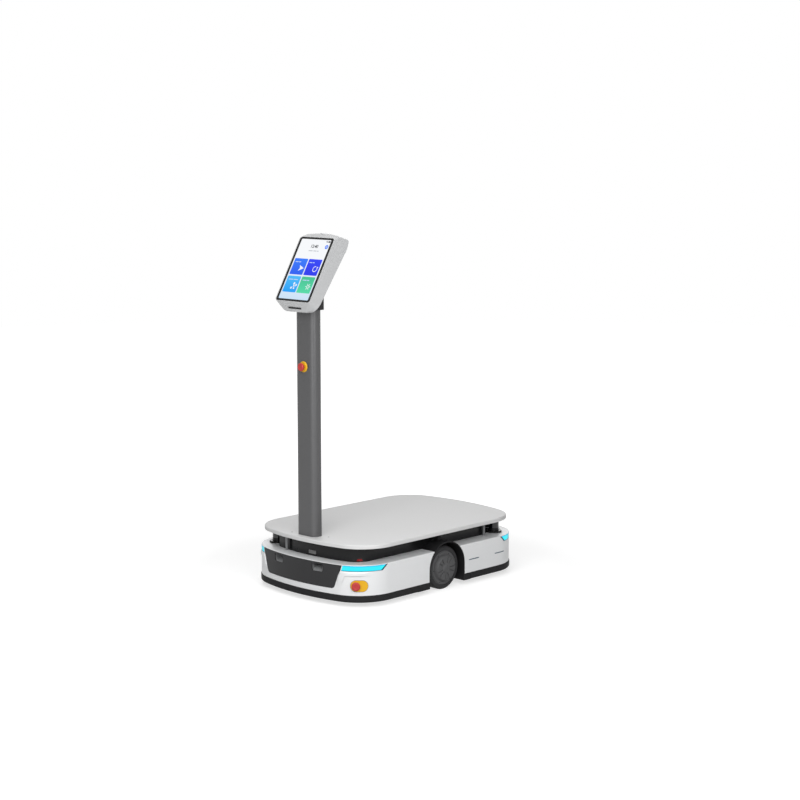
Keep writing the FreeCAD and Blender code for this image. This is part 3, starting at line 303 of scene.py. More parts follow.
def makeFinish(name, look):
    material = bpy.data.materials.new(name)
    material.use_nodes = True
    tree = material.node_tree
    shader = tree.nodes["Principled BSDF"]
    base = colour(*look["colour"])
    shader.inputs["Metallic"].default_value = look.get("metal", 0.0)
    shader.inputs["Specular IOR Level"].default_value = look.get("specular", 0.5)
    shader.inputs["Coat Weight"].default_value = look.get("coat", 0.0)
    shader.inputs["Coat Roughness"].default_value = look.get("coatRough", 0.05)
    # slow drift of tone over the whole piece, then the fine fleck of the finish
    drift, driftScale = look.get("drift", (0.04, 6.0))
    tone = mixColours(tree, noiseFrom(tree, driftScale), scaled(base, 1 - drift), scaled(base, 1 + drift))
    fleck, fleckScale = look.get("fleck", (0.06, 900.0))
    grain = noiseFrom(tree, fleckScale, 3.0, look.get("stretch"))
    sharp = rangeOf(tree, grain, 0.35, 0.65, 0.0, 1.0)
    dark = mixColours(tree, sharp, scaled(base, 1 - fleck), scaled(base, 1 + fleck))
    blend = tree.nodes.new("ShaderNodeMix")
    blend.data_type = "RGBA"
    blend.inputs["Factor"].default_value = 0.5
    link(tree, tone, blend.inputs[6])
    link(tree, dark, blend.inputs[7])
    link(tree, blend.outputs[2], shader.inputs["Base Color"])
    rough = look["rough"]
    spread = look.get("roughSpread", 0.06)
    link(tree, rangeOf(tree, grain, 0.3, 0.7, rough - spread, rough + spread), shader.inputs["Roughness"])
    bumpStrength, bumpDepth = look.get("bump", (0.15, 0.00005))
    bump = tree.nodes.new("ShaderNodeBump")
    bump.inputs["Strength"].default_value = bumpStrength
    bump.inputs["Distance"].default_value = bumpDepth
    link(tree, grain, bump.inputs["Height"])
    link(tree, bump.outputs["Normal"], shader.inputs["Normal"])
    return material


looks = {
    "shellSilver": {"colour": (219, 220, 221), "metal": 0.2, "rough": 0.4, "specular": 0.35, "coat": 0.12,
                    "coatRough": 0.15, "fleck": (0.03, 2400.0), "drift": (0.012, 4.0), "bump": (0.03, 0.00001)},
    "deckSilver": {"colour": (206, 206, 206), "metal": 0.1, "rough": 0.55, "specular": 0.2,
                   "fleck": (0.05, 1500.0), "drift": (0.012, 3.0), "bump": (0.12, 0.00003)},
    "headSilver": {"colour": (185, 186, 187), "metal": 0.2, "rough": 0.38, "specular": 0.35, "coat": 0.12,
                   "coatRough": 0.15, "fleck": (0.01, 2600.0), "drift": (0.012, 6.0), "bump": (0.02, 0.000004),
                   "roughSpread": 0.015},
    "mastGrey": {"colour": (88, 88, 89), "metal": 0.25, "rough": 0.36, "specular": 0.25, "fleck": (0.04, 2200.0),
                 "drift": (0.02, 5.0), "bump": (0.05, 0.00002)},
    "glossBlack": {"colour": (24, 24, 25), "rough": 0.2, "specular": 0.16, "fleck": (0.05, 1200.0),
                   "drift": (0.08, 9.0), "bump": (0.05, 0.00003), "roughSpread": 0.03},
    "panelDark": {"colour": (50, 50, 51), "rough": 0.42, "specular": 0.14, "fleck": (0.08, 2600.0),
                  "drift": (0.03, 8.0), "bump": (0.20, 0.00004)},
    "scoopGrey": {"colour": (122, 123, 124), "rough": 0.45, "specular": 0.2, "fleck": (0.08, 2200.0),
                  "drift": (0.03, 20.0), "bump": (0.20, 0.00004)},
    "bumperDark": {"colour": (44, 44, 45), "rough": 0.5, "specular": 0.03, "fleck": (0.09, 1800.0),
                   "drift": (0.05, 7.0), "bump": (0.25, 0.00006)},
    "archBlack": {"colour": (26, 26, 27), "rough": 0.5, "specular": 0.15, "fleck": (0.10, 1600.0),
                  "bump": (0.3, 0.00006)},
    "tyreRubber": {"colour": (58, 58, 59), "rough": 0.6, "specular": 0.05, "fleck": (0.10, 1300.0),
                   "drift": (0.06, 30.0), "bump": (0.35, 0.00008)},
    "casterRubber": {"colour": (70, 71, 73), "rough": 0.5, "specular": 0.3, "fleck": (0.10, 1500.0),
                     "bump": (0.3, 0.00006)},
    "wheelDark": {"colour": (84, 84, 85), "rough": 0.4, "specular": 0.1, "fleck": (0.08, 2400.0),
                  "drift": (0.03, 20.0), "bump": (0.2, 0.00004)},
    "wheelAlloy": {"colour": (150, 151, 153), "metal": 0.9, "rough": 0.38, "fleck": (0.08, 900.0),
                   "bump": (0.3, 0.00008)},
    "zincSteel": {"colour": (176, 178, 176), "metal": 0.95, "rough": 0.32, "fleck": (0.12, 500.0),
                  "drift": (0.08, 60.0), "bump": (0.2, 0.00005)},
    "panDark": {"colour": (44, 44, 46), "rough": 0.6, "specular": 0.25, "fleck": (0.12, 1100.0),
                "bump": (0.4, 0.0001)},
    "batteryCase": {"colour": (58, 60, 64), "rough": 0.55, "fleck": (0.10, 900.0), "bump": (0.3, 0.0001)},
    "stopYellow": {"colour": (222, 170, 36), "rough": 0.42, "specular": 0.25, "fleck": (0.03, 1800.0),
                   "drift": (0.02, 60.0), "bump": (0.10, 0.00003)},
    "stopRed": {"colour": (182, 60, 58), "rough": 0.36, "specular": 0.25, "fleck": (0.04, 1800.0),
                "drift": (0.03, 80.0), "bump": (0.10, 0.00003)},
    "pinGrey": {"colour": (104, 105, 106), "metal": 0.3, "rough": 0.4, "fleck": (0.06, 1500.0)},
    "screenBlack": {"colour": (12, 12, 13), "rough": 0.1, "specular": 0.2, "fleck": (0.02, 500.0),
                    "bump": (0.02, 0.00001), "roughSpread": 0.01},
    "inkTeal": {"colour": (66, 88, 100), "rough": 0.5, "specular": 0.2, "fleck": (0.05, 1500.0)},
    "rubberBlack": {"colour": (24, 24, 25), "rough": 0.6, "specular": 0.15, "fleck": (0.10, 1500.0),
                    "bump": (0.3, 0.00008)},
    # dark blue-grey ring round the corner stop's plate: partly a gasket, partly painted shade of the gap round it
    "gasketAndShadeBlue": {"colour": (70, 76, 90), "rough": 0.5, "specular": 0.15, "fleck": (0.08, 1500.0)},
    # light grey block on the ledge: a painted reflection on the glossy core
    "reflectionGrey": {"colour": (104, 104, 104), "rough": 0.5, "specular": 0.15, "fleck": (0.06, 1500.0)},
    "screwDark": {"colour": (32, 32, 34), "metal": 0.5, "rough": 0.4, "fleck": (0.08, 1500.0)},
    "lensDark": {"colour": (9, 10, 16), "rough": 0.06, "specular": 0.35, "coat": 0.4, "coatRough": 0.02,
                 "fleck": (0.02, 500.0), "bump": (0.02, 0.00001), "roughSpread": 0.01},
    "windowRed": {"colour": (122, 8, 10), "rough": 0.15, "specular": 0.25, "fleck": (0.03, 900.0),
                  "bump": (0.02, 0.00001), "roughSpread": 0.02},
    "contactBrass": {"colour": (196, 150, 84), "metal": 0.95, "rough": 0.28, "fleck": (0.06, 900.0)},
}
finishes = {name: makeFinish(name, look) for name, look in looks.items()}


def dotWith(tree, direction):
    # how far a point of the piece lies along a direction
    coords = tree.nodes.new("ShaderNodeTexCoord")
    dot = tree.nodes.new("ShaderNodeVectorMath")
    dot.operation = "DOT_PRODUCT"
    dot.inputs[1].default_value = direction
    link(tree, coords.outputs["Object"], dot.inputs[0])
    return dot.outputs["Value"]


def litShader(name, strength, rough=0.12):
    material = bpy.data.materials.new(name)
    material.use_nodes = True
    tree = material.node_tree
    shader = tree.nodes["Principled BSDF"]
    shader.inputs["Base Color"].default_value = (0.01, 0.01, 0.01, 1.0)
    shader.inputs["Roughness"].default_value = rough
    shader.inputs["Specular IOR Level"].default_value = 0.06
    shader.inputs["Emission Strength"].default_value = strength
    return material, tree, shader


def litFinish(name, low, high, direction, span, strength=0.95):
    # a lit surface whose colour runs from low to high along a direction
    material, tree, shader = litShader(name, strength)
    share = rangeOf(tree, dotWith(tree, direction), span[0], span[1], 0.0, 1.0)
    link(tree, mixColours(tree, share, colour(*low), colour(*high)), shader.inputs["Emission Color"])
    return material


def mathOf(tree, operation, first, second=None):
    node = tree.nodes.new("ShaderNodeMath")
    node.operation = operation
    for socket, value in enumerate((first, second)):
        if value is None:
            continue
        if isinstance(value, bpy.types.NodeSocket):
            link(tree, value, node.inputs[socket])
        else:
            node.inputs[socket].default_value = value
    return node.outputs[0]


# Corner lamps: a lit strip under a clear lens, with a dark slanted tip at its outer end, and a dark band along its foot
# that is painted shade of the gap under the lens.
lamp = {
    "lit": (52, 240, 255), "edge": (40, 190, 240), "tip": (24, 60, 78), "footShade": (20, 44, 58),
    "bottom": 122.3 * mm, "top": 141.0 * mm, "footShadeHeight": 1.6 * mm,
    "tipStart": 66.0 * mm, "tipSlant": 0.92, "centreX": 144.0 * mm, "centreY": 268.6 * mm,
}


def makeLampFinish():
    material, tree, shader = litShader("lampLens", 1.0, 0.08)
    coords = tree.nodes.new("ShaderNodeTexCoord")
    split = tree.nodes.new("ShaderNodeSeparateXYZ")
    link(tree, coords.outputs["Object"], split.inputs[0])
    sideways = mathOf(tree, "ABSOLUTE", split.outputs["X"])
    lengthways = mathOf(tree, "ABSOLUTE", split.outputs["Y"])
    height = split.outputs["Z"]
    # the place along the corner's chord, from its middle, positive towards the side
    chord = mathOf(tree, "MULTIPLY", mathOf(tree, "SUBTRACT", sideways, lengthways), math.sqrt(0.5))
    chord = mathOf(tree, "ADD", chord, (lamp["centreY"] - lamp["centreX"]) * math.sqrt(0.5))
    rise = mathOf(tree, "SUBTRACT", height, lamp["bottom"])
    past = mathOf(tree, "SUBTRACT", chord, mathOf(tree, "MULTIPLY", rise, lamp["tipSlant"]))
    tipShare = rangeOf(tree, past, lamp["tipStart"], lamp["tipStart"] + 1.2 * mm, 0.0, 1.0)
    middle = (lamp["bottom"] + lamp["top"]) / 2
    off = mathOf(tree, "ABSOLUTE", mathOf(tree, "SUBTRACT", height, middle))
    edgeShare = rangeOf(tree, off, 5.0 * mm, 9.4 * mm, 0.0, 1.0)
    # a dark band along the lamp's foot: painted shade of the gap under the lens
    footShadeShare = rangeOf(tree, height, lamp["bottom"] + lamp["footShadeHeight"], lamp["bottom"] + lamp["footShadeHeight"] * 0.6,
                       0.0, 1.0)
    lit = mixColours(tree, edgeShare, colour(*lamp["lit"]), colour(*lamp["edge"]))
    tipped = mixColours(tree, tipShare, lit, colour(*lamp["tip"]))
    footShaded = mixColours(tree, footShadeShare, tipped, colour(*lamp["footShade"]))
    # a strip behind a lens looks dimmer from the side
    facing = tree.nodes.new("ShaderNodeLayerWeight")
    facing.inputs["Blend"].default_value = 0.5
    dim = rangeOf(tree, facing.outputs["Facing"], 0.62, 0.92, 0.0, 0.85)
    link(tree, mixColours(tree, dim, footShaded, colour(*lamp["tip"])), shader.inputs["Emission Color"])
    return material


finishes["lampLens"] = makeLampFinish()

nodeFinish = {
    "battery": "batteryCase", "caster_cups": "panDark", "caster_plates": "zincSteel", "core_housing": "glossBlack",
    "corner_stop_plate": "stopYellow", "corner_stop_button": "stopRed", "deck": "deckSilver", "deck_pins": "pinGrey",
    "deck_stops": "rubberBlack", "floor_pan": "panDark", "front_bumper": "bumperDark", "rear_bumper": "bumperDark",
    "front_panel": "panelDark", "rear_panel": "panelDark", "front_shell": "shellSilver", "rear_shell": "shellSilver",
    "head_housing": "headSilver", "head_back_cover": "panelDark", "head_top_cap": "headSilver",
    "screen_glass": "screenBlack", "mast": "mastGrey", "mast_stop_ring": "stopYellow", "mast_stop_button": "stopRed",
    "neck_collar": "panelDark", "scanner_front": "glossBlack", "scanner_rear": "glossBlack",
}
for side in ("left", "right"):
    nodeFinish["drive_mount_" + side] = "zincSteel"
    nodeFinish["front_sensor_" + side] = "scoopGrey"
    nodeFinish["side_skirt_" + side] = "bumperDark"
    nodeFinish["wheel_arch_" + side] = "archBlack"
    nodeFinish["drive_tyre_" + side] = "tyreRubber"
    nodeFinish["drive_hub_" + side] = "wheelAlloy"
    nodeFinish["drive_cover_" + side] = "wheelDark"
for corner in ("front_left", "front_right", "rear_left", "rear_right"):
    nodeFinish["lamp_" + corner] = "lampLens"
    nodeFinish["caster_fork_" + corner] = "zincSteel"
    nodeFinish["caster_wheel_" + corner] = "casterRubber"
for name, finish in nodeFinish.items():
    piece = nodes[name]
    piece.data.materials.clear()
    piece.data.materials.append(finishes[finish])
print("materials made")


# Screen: its own flat frame, x across, y up the glass, z out of it, in millimetres
screen = {
    "page": (142.0, 220.0), "pageCorner": 3.5, "layer": 0.12,
    "tile": (63.6, 59.2), "tileCorner": 3.0, "tileGap": (4.6, 5.2), "tilesDown": 23.8,
    "icon": (12.5, -5.6), "caption": (-24.0, 16.8), "captions": ((14.0, 11.0), (13.0, 9.0), (22.0, 21.0), (19.0, 11.0)),
    "clockUp": 84.0, "clockSize": 16.0, "dateUp": 67.8, "badge": (60.3, 84.5, 7.6), "statusUp": 103.3,
    "pageLow": (206, 229, 250), "pageHigh": (250, 252, 255),
    "tileLights": (((36, 92, 244), (52, 124, 255)), ((34, 50, 240), (44, 66, 250)),
                   ((14, 160, 250), (76, 190, 252)), ((84, 222, 170), (66, 194, 146))),
}


def screenFrame():
    # the glass's middle and lean, read from its own front face
    low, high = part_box("screen_glass")
    faces = nodes["screen_glass"].data.polygons
    front = max(faces, key=lambda face: face.area * (face.normal.y < -0.5))
    lean = math.atan2(front.normal.z, -front.normal.y)
    middle = (low + high) / 2
    away = (front.center - middle).dot(front.normal)
    return Matrix.Translation(middle + front.normal * away) @ Matrix.Rotation(math.pi / 2 - lean, 4, "X")


glassPlace = screenFrame()
glassUp = glassPlace.to_3x3() @ Vector((0, 1, 0))
glassLevel = glassPlace.to_translation().dot(glassUp)


def layered(level):
    return level * screen["layer"], (level + 1) * screen["layer"]


def bar(x, y, width, height, level, corner=9.0):
    return roundedPlate("bar", x, y, width, height, corner, *layered(level), 3)


def dot(x, y, radius, level, sides=32, turn=0.0, squeeze=1.0):
    return flatDisc("dot", x, y, radius, *layered(level), sides, turn, squeeze)


def openRing(x, y, radius, wide, level, gapFrom=None, gapTo=None):
    # a flat ring, open between two angles when they are given
    piece = ringOf(dot(x, y, radius, level, 48), wide)
    if gapFrom is None:
        return piece

    def inGap(face):
        centre = face.calc_center_median()
        angle = math.degrees(math.atan2(centre.y - y * mm, centre.x - x * mm)) % 360
        return gapFrom < angle < gapTo

    startEdit(piece)
    selectFaces(piece, inGap)
    bpy.ops.mesh.delete(type="FACE")
    bpy.ops.mesh.select_mode(type="EDGE")
    selectEdges(piece, lambda edge: edge.is_boundary)
    bpy.ops.mesh.edge_face_add()
    endEdit()
    return outwards(piece)


def clockText(name, words, x, y, size, level):
    bpy.ops.object.text_add(location=(x * mm, y * mm, layered(level)[0] * mm))
    text = named(name)
    text.data.body = words
    text.data.align_x = "CENTER"
    text.data.align_y = "CENTER"
    text.data.size = size * mm
    text.data.extrude = screen["layer"] * mm / 2
    text.data.offset = 0.4 * mm
    pick(text)
    bpy.ops.object.convert(target="MESH")
    return settle(bpy.context.active_object)


def onScreen(piece, material):
    piece.data.transform(glassPlace)
    return finishPiece(piece, "chassis", material, 30)


def screenLight(name, low, high, middle=0.0, reach=110.0):
    level = glassLevel + middle * mm
    return litFinish(name, low, high, glassUp, (level - reach * mm, level + reach * mm))


def makeScreen():
    wide, tall = screen["tile"]
    gapX, gapY = screen["tileGap"]
    stepX, stepY, down = (wide + gapX) / 2, (tall + gapY) / 2, screen["tilesDown"]
    onScreen(roundedPlate("screenPage", 0, 0, *screen["page"], screen["pageCorner"], *layered(1)),
             screenLight("screenPageLight", screen["pageLow"], screen["pageHigh"], -35, 75))
    white = screenLight("screenWhite", (240, 246, 255), (252, 253, 255))
    soft = screenLight("screenCaption", (190, 214, 252), (190, 214, 252))
    dark = screenLight("screenInk", (52, 56, 64), (44, 48, 56))
    pale = screenLight("screenDate", (186, 190, 198), (186, 190, 198))
    spots = [(-stepX, stepY - down), (stepX, stepY - down), (-stepX, -stepY - down), (stepX, -stepY - down)]
    for index, ((x, y), (low, high)) in enumerate(zip(spots, screen["tileLights"]), 1):
        tile = roundedPlate(f"screenTile{index}", x, y, wide, tall, screen["tileCorner"], *layered(2))
        onScreen(tile, screenLight(f"screenTileLight{index}", low, high, y, tall / 2))
        start, up = x + screen["caption"][0], y + screen["caption"][1]
        first, second = screen["captions"][index - 1]
        words = [bar(start + first / 2, up, first, 3.0, 3), bar(start + first + 2 + second / 2, up, second, 3.0, 3)]
        onScreen(joinPieces(f"tileCaption{index}", words), soft)
        icon = tileIcons[index - 1](x + screen["icon"][0], y + screen["icon"][1])
        onScreen(joinPieces(f"tileIcon{index}", icon), white)
    onScreen(clockText("screenClock", "12:40", 2, screen["clockUp"], screen["clockSize"], 2), dark)
    date = [bar(6 + x, screen["dateUp"], length, 3.0, 2) for x, length in ((-14, 20.0), (7, 16.0), (21, 8.0))]
    onScreen(joinPieces("screenDateLine", date), pale)
    x, y, radius = screen["badge"]
    onScreen(dot(x, y, radius, 2), screenLight("screenBadgeLight", (40, 104, 248), (60, 130, 252)))
    onScreen(joinPieces("screenBadgeMark", [openRing(x, y, radius * 0.55, 1.2, 3, 40, 140), bar(x, y + 1.8, 1.2, 4.6, 3)]), white)
    # status marks: a fan over a dot and a full battery
    up = screen["statusUp"]
    fan = [openRing(53.4, up - 2.6, 6.0, 1.2, 2, 140, 400), openRing(53.4, up - 2.6, 3.6, 1.1, 2, 140, 400), dot(53.4, up - 2.2, 1.1, 2)]
    onScreen(joinPieces("screenSignal", fan), dark)
    onScreen(joinPieces("screenBattery", [bar(64.6, up, 9.0, 5.4, 2, 1.6), bar(70.0, up, 1.2, 2.4, 2, 0.5)]), dark)


def sendIcon(x, y):
    # a swept paper plane
    plane = flatShape("plane", ((x + 14, y + 0.5), (x - 9, y + 11), (x - 3.5, y - 0.5), (x - 10, y - 10.5)), *layered(3))
    return [plane]


def loopIcon(x, y):
    # an open ring with an arrow head at its end
    return [openRing(x, y, 10.5, 2.4, 3, 30, 80), dot(x + 9.2, y + 6.0, 4.4, 3, 3, 50)]


def groupIcon(x, y):
    # three dots joined by bars
    return [dot(x - 1, y + 8, 4.4, 3), dot(x + 10, y + 3, 3.6, 3), dot(x - 9, y - 8, 3.8, 3), dot(x + 4, y - 9, 3.2, 3),
            bar(x - 1, y, 2.6, 12.0, 3), bar(x + 4, y - 1, 9.0, 2.4, 3)]


def careIcon(x, y):
    # a ring with six short rays
    rays = []
    for index in range(6):
        ray = bar(0, 0, 5.0, 2.2, 3)
        ray.data.transform(place(x * mm, y * mm, 0, "Z", index * 60) @ Matrix.Translation((9.4 * mm, 0, 0)))
        rays.append(ray)
    return [openRing(x, y, 6.2, 2.2, 3)] + rays


tileIcons = (sendIcon, loopIcon, groupIcon, careIcon)
makeScreen()
print("screen made")


# Stop buttons: mushroom knobs with a grip-notched rim and a dished crown, in the place of the plain ones
knob = {"notches": 24, "notchDeep": 0.5, "dish": 0.55, "dishDeep": 0.7}


def makeKnob(name, radius, stem, lift, cap, body, node, matrix):
    # built upright on its own base, then turned to its place
    bpy.ops.mesh.primitive_cylinder_add(vertices=knob["notches"] * 2, radius=stem * mm, depth=(lift - cap) * mm,
                                        location=(0, 0, (lift - cap) / 2 * mm))
    piece = named(name)
    settle(piece)
    startEdit(piece)
    selectFaces(piece, lambda face: face.normal.z > 0.9)
    bpy.ops.transform.resize(value=(1, 1, 1))
    bpy.ops.mesh.extrude_region_move(TRANSFORM_OT_translate={"value": (0, 0, 0)})
    bpy.ops.transform.resize(value=(radius / stem, radius / stem, 1))
    bpy.ops.mesh.extrude_region_move(TRANSFORM_OT_translate={"value": (0, 0, cap * 0.55 * mm)})
    bpy.ops.mesh.extrude_region_move(TRANSFORM_OT_translate={"value": (0, 0, cap * 0.3 * mm)})
    bpy.ops.transform.resize(value=(0.90, 0.90, 1))
    bpy.ops.mesh.extrude_region_move(TRANSFORM_OT_translate={"value": (0, 0, cap * 0.15 * mm)})
    bpy.ops.transform.resize(value=(0.80, 0.80, 1))
    bpy.ops.mesh.inset(thickness=radius * 0.2 * mm, depth=0)
    bpy.ops.mesh.inset(thickness=radius * 0.05 * mm, depth=-knob["dishDeep"] * mm)
    rim = lambda face: abs(face.normal.z) < 0.3 and face.calc_center_median().to_2d().length > stem * 1.15 * mm
    mesh = bmesh.from_edit_mesh(piece.data)
    for index, face in enumerate(sorted(filter(rim, mesh.faces), key=faceAngle)):
        if index % 2 == 0:
            push = face.normal * knob["notchDeep"] * mm
            for vert in face.verts:
                vert.co -= push * 0.5
    bmesh.update_edit_mesh(piece.data)
    endEdit()
    softenEdges(piece, 0.35 * mm, 2, 30)
    piece.data.transform(matrix)
    finishPiece(piece, body, finishes["stopRed"], 40)
    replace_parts(piece, node)
    return piece


def faceAngle(face):
    centre = face.calc_center_median()
    return math.atan2(centre.y, centre.x)


def knobFrame(node, outward):
    # the knob's base: the middle of the node's box, moved back along its axis to its seat
    low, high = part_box(node)
    axis = Vector(outward).normalized()
    points = [vertex.co for vertex in nodes[node].data.vertices]
    seat = min(point.dot(axis) for point in points)
    middle = sum(points, Vector()) / len(points)
    middle = (low + high) / 2 if abs(axis.x) < 1e-6 else middle
    base = middle + axis * (seat - middle.dot(axis))
    return Matrix.Translation(base) @ axis.to_track_quat("Z", "Y").to_matrix().to_4x4()


cornerAim = math.radians(-45 - math.degrees((58.0 - 37.4) / 2 / 139.0))
makeKnob("mastStopKnob", 14.0, 8.0, 13.0, 6.0, "chassis", "mast_stop_button", knobFrame("mast_stop_button", (0, -1, 0)))
makeKnob("cornerStopKnob", 15.0, 8.0, 11.0, 6.0, "chassis", "corner_stop_button",
         knobFrame("corner_stop_button", (math.cos(cornerAim), math.sin(cornerAim), 0)))
print("stop buttons made")


# The body's wall in plan: straight side, round corner and bowed end, in millimetres
wall = {"side": 283.0, "end": 432.25, "corner": 139.0, "bow": 725.0}
wall["cornerX"] = wall["side"] - wall["corner"]
wall["bowY"] = wall["end"] - wall["bow"]
wall["cornerY"] = wall["bowY"] + math.sqrt((wall["bow"] - wall["corner"]) ** 2 - wall["cornerX"] ** 2)
wall["turn"] = math.atan2(wall["cornerY"] - wall["bowY"], wall["cornerX"])


def wallPoint(run, out):
    # plan point at a run from where the side meets the corner, towards the end, and its distance off the wall
    if run < 0:
        return wall["side"] + out, wall["cornerY"] + run
    if run < wall["turn"] * wall["corner"]:
        angle, radius, x, y = run / wall["corner"], wall["corner"] + out, wall["cornerX"], wall["cornerY"]
    else:
        angle = wall["turn"] + (run - wall["turn"] * wall["corner"]) / wall["bow"]
        radius, x, y = wall["bow"] + out, 0.0, wall["bowY"]
    return x + radius * math.cos(angle), y + radius * math.sin(angle)


def ontoWall(piece, hand, end):
    # bends a flat piece (x = run, y = height, z = distance off the wall) round a corner of the body
    for vertex in piece.data.vertices:
        run, height, out = vertex.co / mm
        x, y = wallPoint(run, out)
        vertex.co = Vector((hand * x, end * y, height)) * mm
    return outwards(piece)


# Corner brows: the wall's thicker lip under each front lamp, which fades towards the side and the foot
brow = {
    "outline": ((52, 121.2), (52, 106), (156.7, 103.5), (174, 64), (193.8, 64), (181.2, 109), (174.6, 121.2)),
    "proud": 2.5, "sink": 0.6, "slope": 3.4, "fadeSide": (56.0, 120.0), "fadeFoot": (66.0, 92.0),
}


def easeBetween(value, low, high):
    share = min(1.0, max(0.0, (value - low) / (high - low)))
    return share * share * (3 - 2 * share)


def makeBrows():
    for name, hand in (("left", -1), ("right", 1)):
        piece = flatShape(f"cornerBrow-{name}", brow["outline"], -brow["sink"], 0.0)
        startEdit(piece)
        selectFaces(piece, lambda face: face.normal.z > 0.9)
        bpy.ops.mesh.inset(thickness=brow["slope"] * mm, depth=brow["proud"] * mm)
        endEdit()
        sliced(piece, "X", 52, 194, 4.0)
        sliced(piece, "Y", 64, 122, 4.0)
        for vertex in piece.data.vertices:
            run, height, out = vertex.co / mm
            if out > 0:
                fade = easeBetween(run, *brow["fadeSide"]) * easeBetween(height, *brow["fadeFoot"])
                vertex.co.z = (out * fade + 0.02) * mm
        ontoWall(piece, hand, -1)
        finishPiece(piece, "chassis", finishes["shellSilver"], 60)


makeBrows()


# Corner stop: a dark blue-grey ring round the yellow plate, partly a gasket and partly painted shade that deepens the
# dark line of the gap round it
cornerStop = {"run": 109.2, "height": 74.0, "length": 58.0, "tall": 37.4, "gasketShade": 1.1, "proud": 0.6}


def makeStopGasketAndShade():
    # the ring is partly a gasket and partly painted shade of the gap round the plate
    wide = cornerStop["gasketShade"]
    piece = roundedPlate("cornerStopGasketAndShade", cornerStop["run"], cornerStop["height"], cornerStop["length"] + 2 * wide,
                         cornerStop["tall"] + 2 * wide, 99.0, 0.05, cornerStop["proud"], 16)
    ringOf(piece, wide - 0.2)
    sliced(piece, "X", cornerStop["run"] - 31, cornerStop["run"] + 31, 3.0)
    ontoWall(piece, 1, -1)
    finishPiece(piece, "chassis", finishes["gasketAndShadeBlue"], 50)


makeStopGasketAndShade()


# Side dashes: two plain painted lines on each side behind the wheel
dashes = {"height": 86.3, "tall": 3.4, "spans": ((118.0, 168.5), (252.0, 303.0)), "paint": 0.12}


def makeDashes():
    for name, hand in (("left", -1), ("right", 1)):
        bars = []
        for low, high in dashes["spans"]:
            piece = roundedPlate("dash", (low + high) / 2 - wall["cornerY"], dashes["height"], high - low,
                                 dashes["tall"], 1.1, 0.02, dashes["paint"], 3)
            bars.append(ontoWall(sliced(piece, "X", low - wall["cornerY"], high - wall["cornerY"], 4.0), hand, 1))
        finishPiece(joinPieces(f"sideDashes-{name}", bars), "chassis", finishes["inkTeal"], 50)


makeDashes()
print("body dressed")


# Small fasteners
def makeScrew(name, radius, proud, socket=0.55):
    # a round head with a round socket, standing on z = 0
    piece = turned(name, ((radius, 0), (radius, proud * 0.7), (radius * 0.86, proud)), 24)
    startEdit(piece)
    selectFaces(piece, lambda face: face.normal.z > 0.9 and len(face.verts) > 4)
    bpy.ops.mesh.inset(thickness=radius * (0.86 - socket) * mm, depth=0)
    bpy.ops.mesh.inset(thickness=0.05 * radius * mm, depth=-proud * 0.8 * mm)
    endEdit()
    return piece


def scatter(name, source, matrices, body, material):
    # copies of one small part at several places, joined into one piece
    copies = [copyAt(source, matrix) for matrix in matrices]
    bpy.data.objects.remove(source)
    return finishPiece(joinPieces(name, copies), body, material, 35)


# Front sensors: a black window with two lenses at the back of each mouth
sensor = {"window": (45.0, 10.4, 2.0), "thick": 1.2, "lensRadius": 3.6, "lensApart": 26.0}


def backWall(node):
    # the sensor's back wall: its middle and how it faces, from the node's own faces
    faces = [face for face in nodes[node].data.polygons if face.normal.y < -0.9]
    deepest = max(face.center.y for face in faces)
    level = [face for face in faces if face.center.y > deepest - 3 * mm]
    points = [nodes[node].data.vertices[index].co for face in level for index in face.vertices]
    low = Vector([min(point[axis] for point in points) for axis in range(3)])
    high = Vector([max(point[axis] for point in points) for axis in range(3)])
    return (low + high) / 2, level[0].normal.copy()


def makeSensors():
    for side in ("left", "right"):
        middle, normal = backWall("front_sensor_" + side)
        turn = math.degrees(math.atan2(normal.x, -normal.y))
        matrix = Matrix.Translation(middle) @ place(0, 0, 0, "Z", turn) @ place(0, 0, 0, "X", 90)
        wide, tall, corner = sensor["window"]
        window = roundedPlate(f"sensorWindow-{side}", 0, 0, wide, tall, corner, 0.05, sensor["thick"])
        softenEdges(window, 0.3 * mm)
        window.data.transform(matrix)
        finishPiece(window, "chassis", finishes["rubberBlack"])
        eye = turned("eye", ((sensor["lensRadius"], 0), (sensor["lensRadius"], 0.9), (sensor["lensRadius"] * 0.8, 1.3),
                             (sensor["lensRadius"] * 0.72, 0.7), (sensor["lensRadius"] * 0.3, 1.1)), 32)
        spots = [matrix @ Matrix.Translation((x * sensor["lensApart"] / 2 * mm, 0, sensor["thick"] * mm)) for x in (-1, 1)]
        scatter(f"sensorLenses-{side}", eye, spots, "chassis", finishes["lensDark"])


makeSensors()


# Scanners: a wide foot, a drum with a glossy window band and a capped top
scanner = {
    "steps": ((29, 0), (29, 4.6), (27.6, 6), (18.5, 6), (18.5, 15.4), (17.6, 16), (17.6, 37), (18.5, 37.6), (18.5, 51),
              (17.6, 52)),
    "window": ((18.15, 16.2), (18.15, 36.8)),
}


def makeScanners():
    for name in ("front", "rear"):
        low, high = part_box("scanner_" + name)
        seat = Matrix.Translation(((low.x + high.x) / 2, (low.y + high.y) / 2, low.z))
        drum = turned(f"scannerDrum-{name}", scanner["steps"], 72)
        drum.data.transform(seat)
        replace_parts(finishPiece(drum, "chassis", finishes["glossBlack"], 30), "scanner_" + name)
        window = turned(f"scannerWindow-{name}", scanner["window"], 72)
        window.data.transform(seat)
        finishPiece(window, "chassis", finishes["lensDark"], 30)


makeScanners()
print("sensors made")


# Deck: countersunk screws beside the mast
deckScrews = {"spots": ((-73.5, -383.5), (71.0, -349.5)), "radius": 2.6}


def makeDeckScrews():
    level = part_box("deck")[1].z
    spots = [Matrix.Translation((x * mm, y * mm, level)) for x, y in deckScrews["spots"]]
    scatter("deckScrews", makeScrew("screw", deckScrews["radius"], 0.35), spots, "chassis", finishes["screwDark"])


makeDeckScrews()
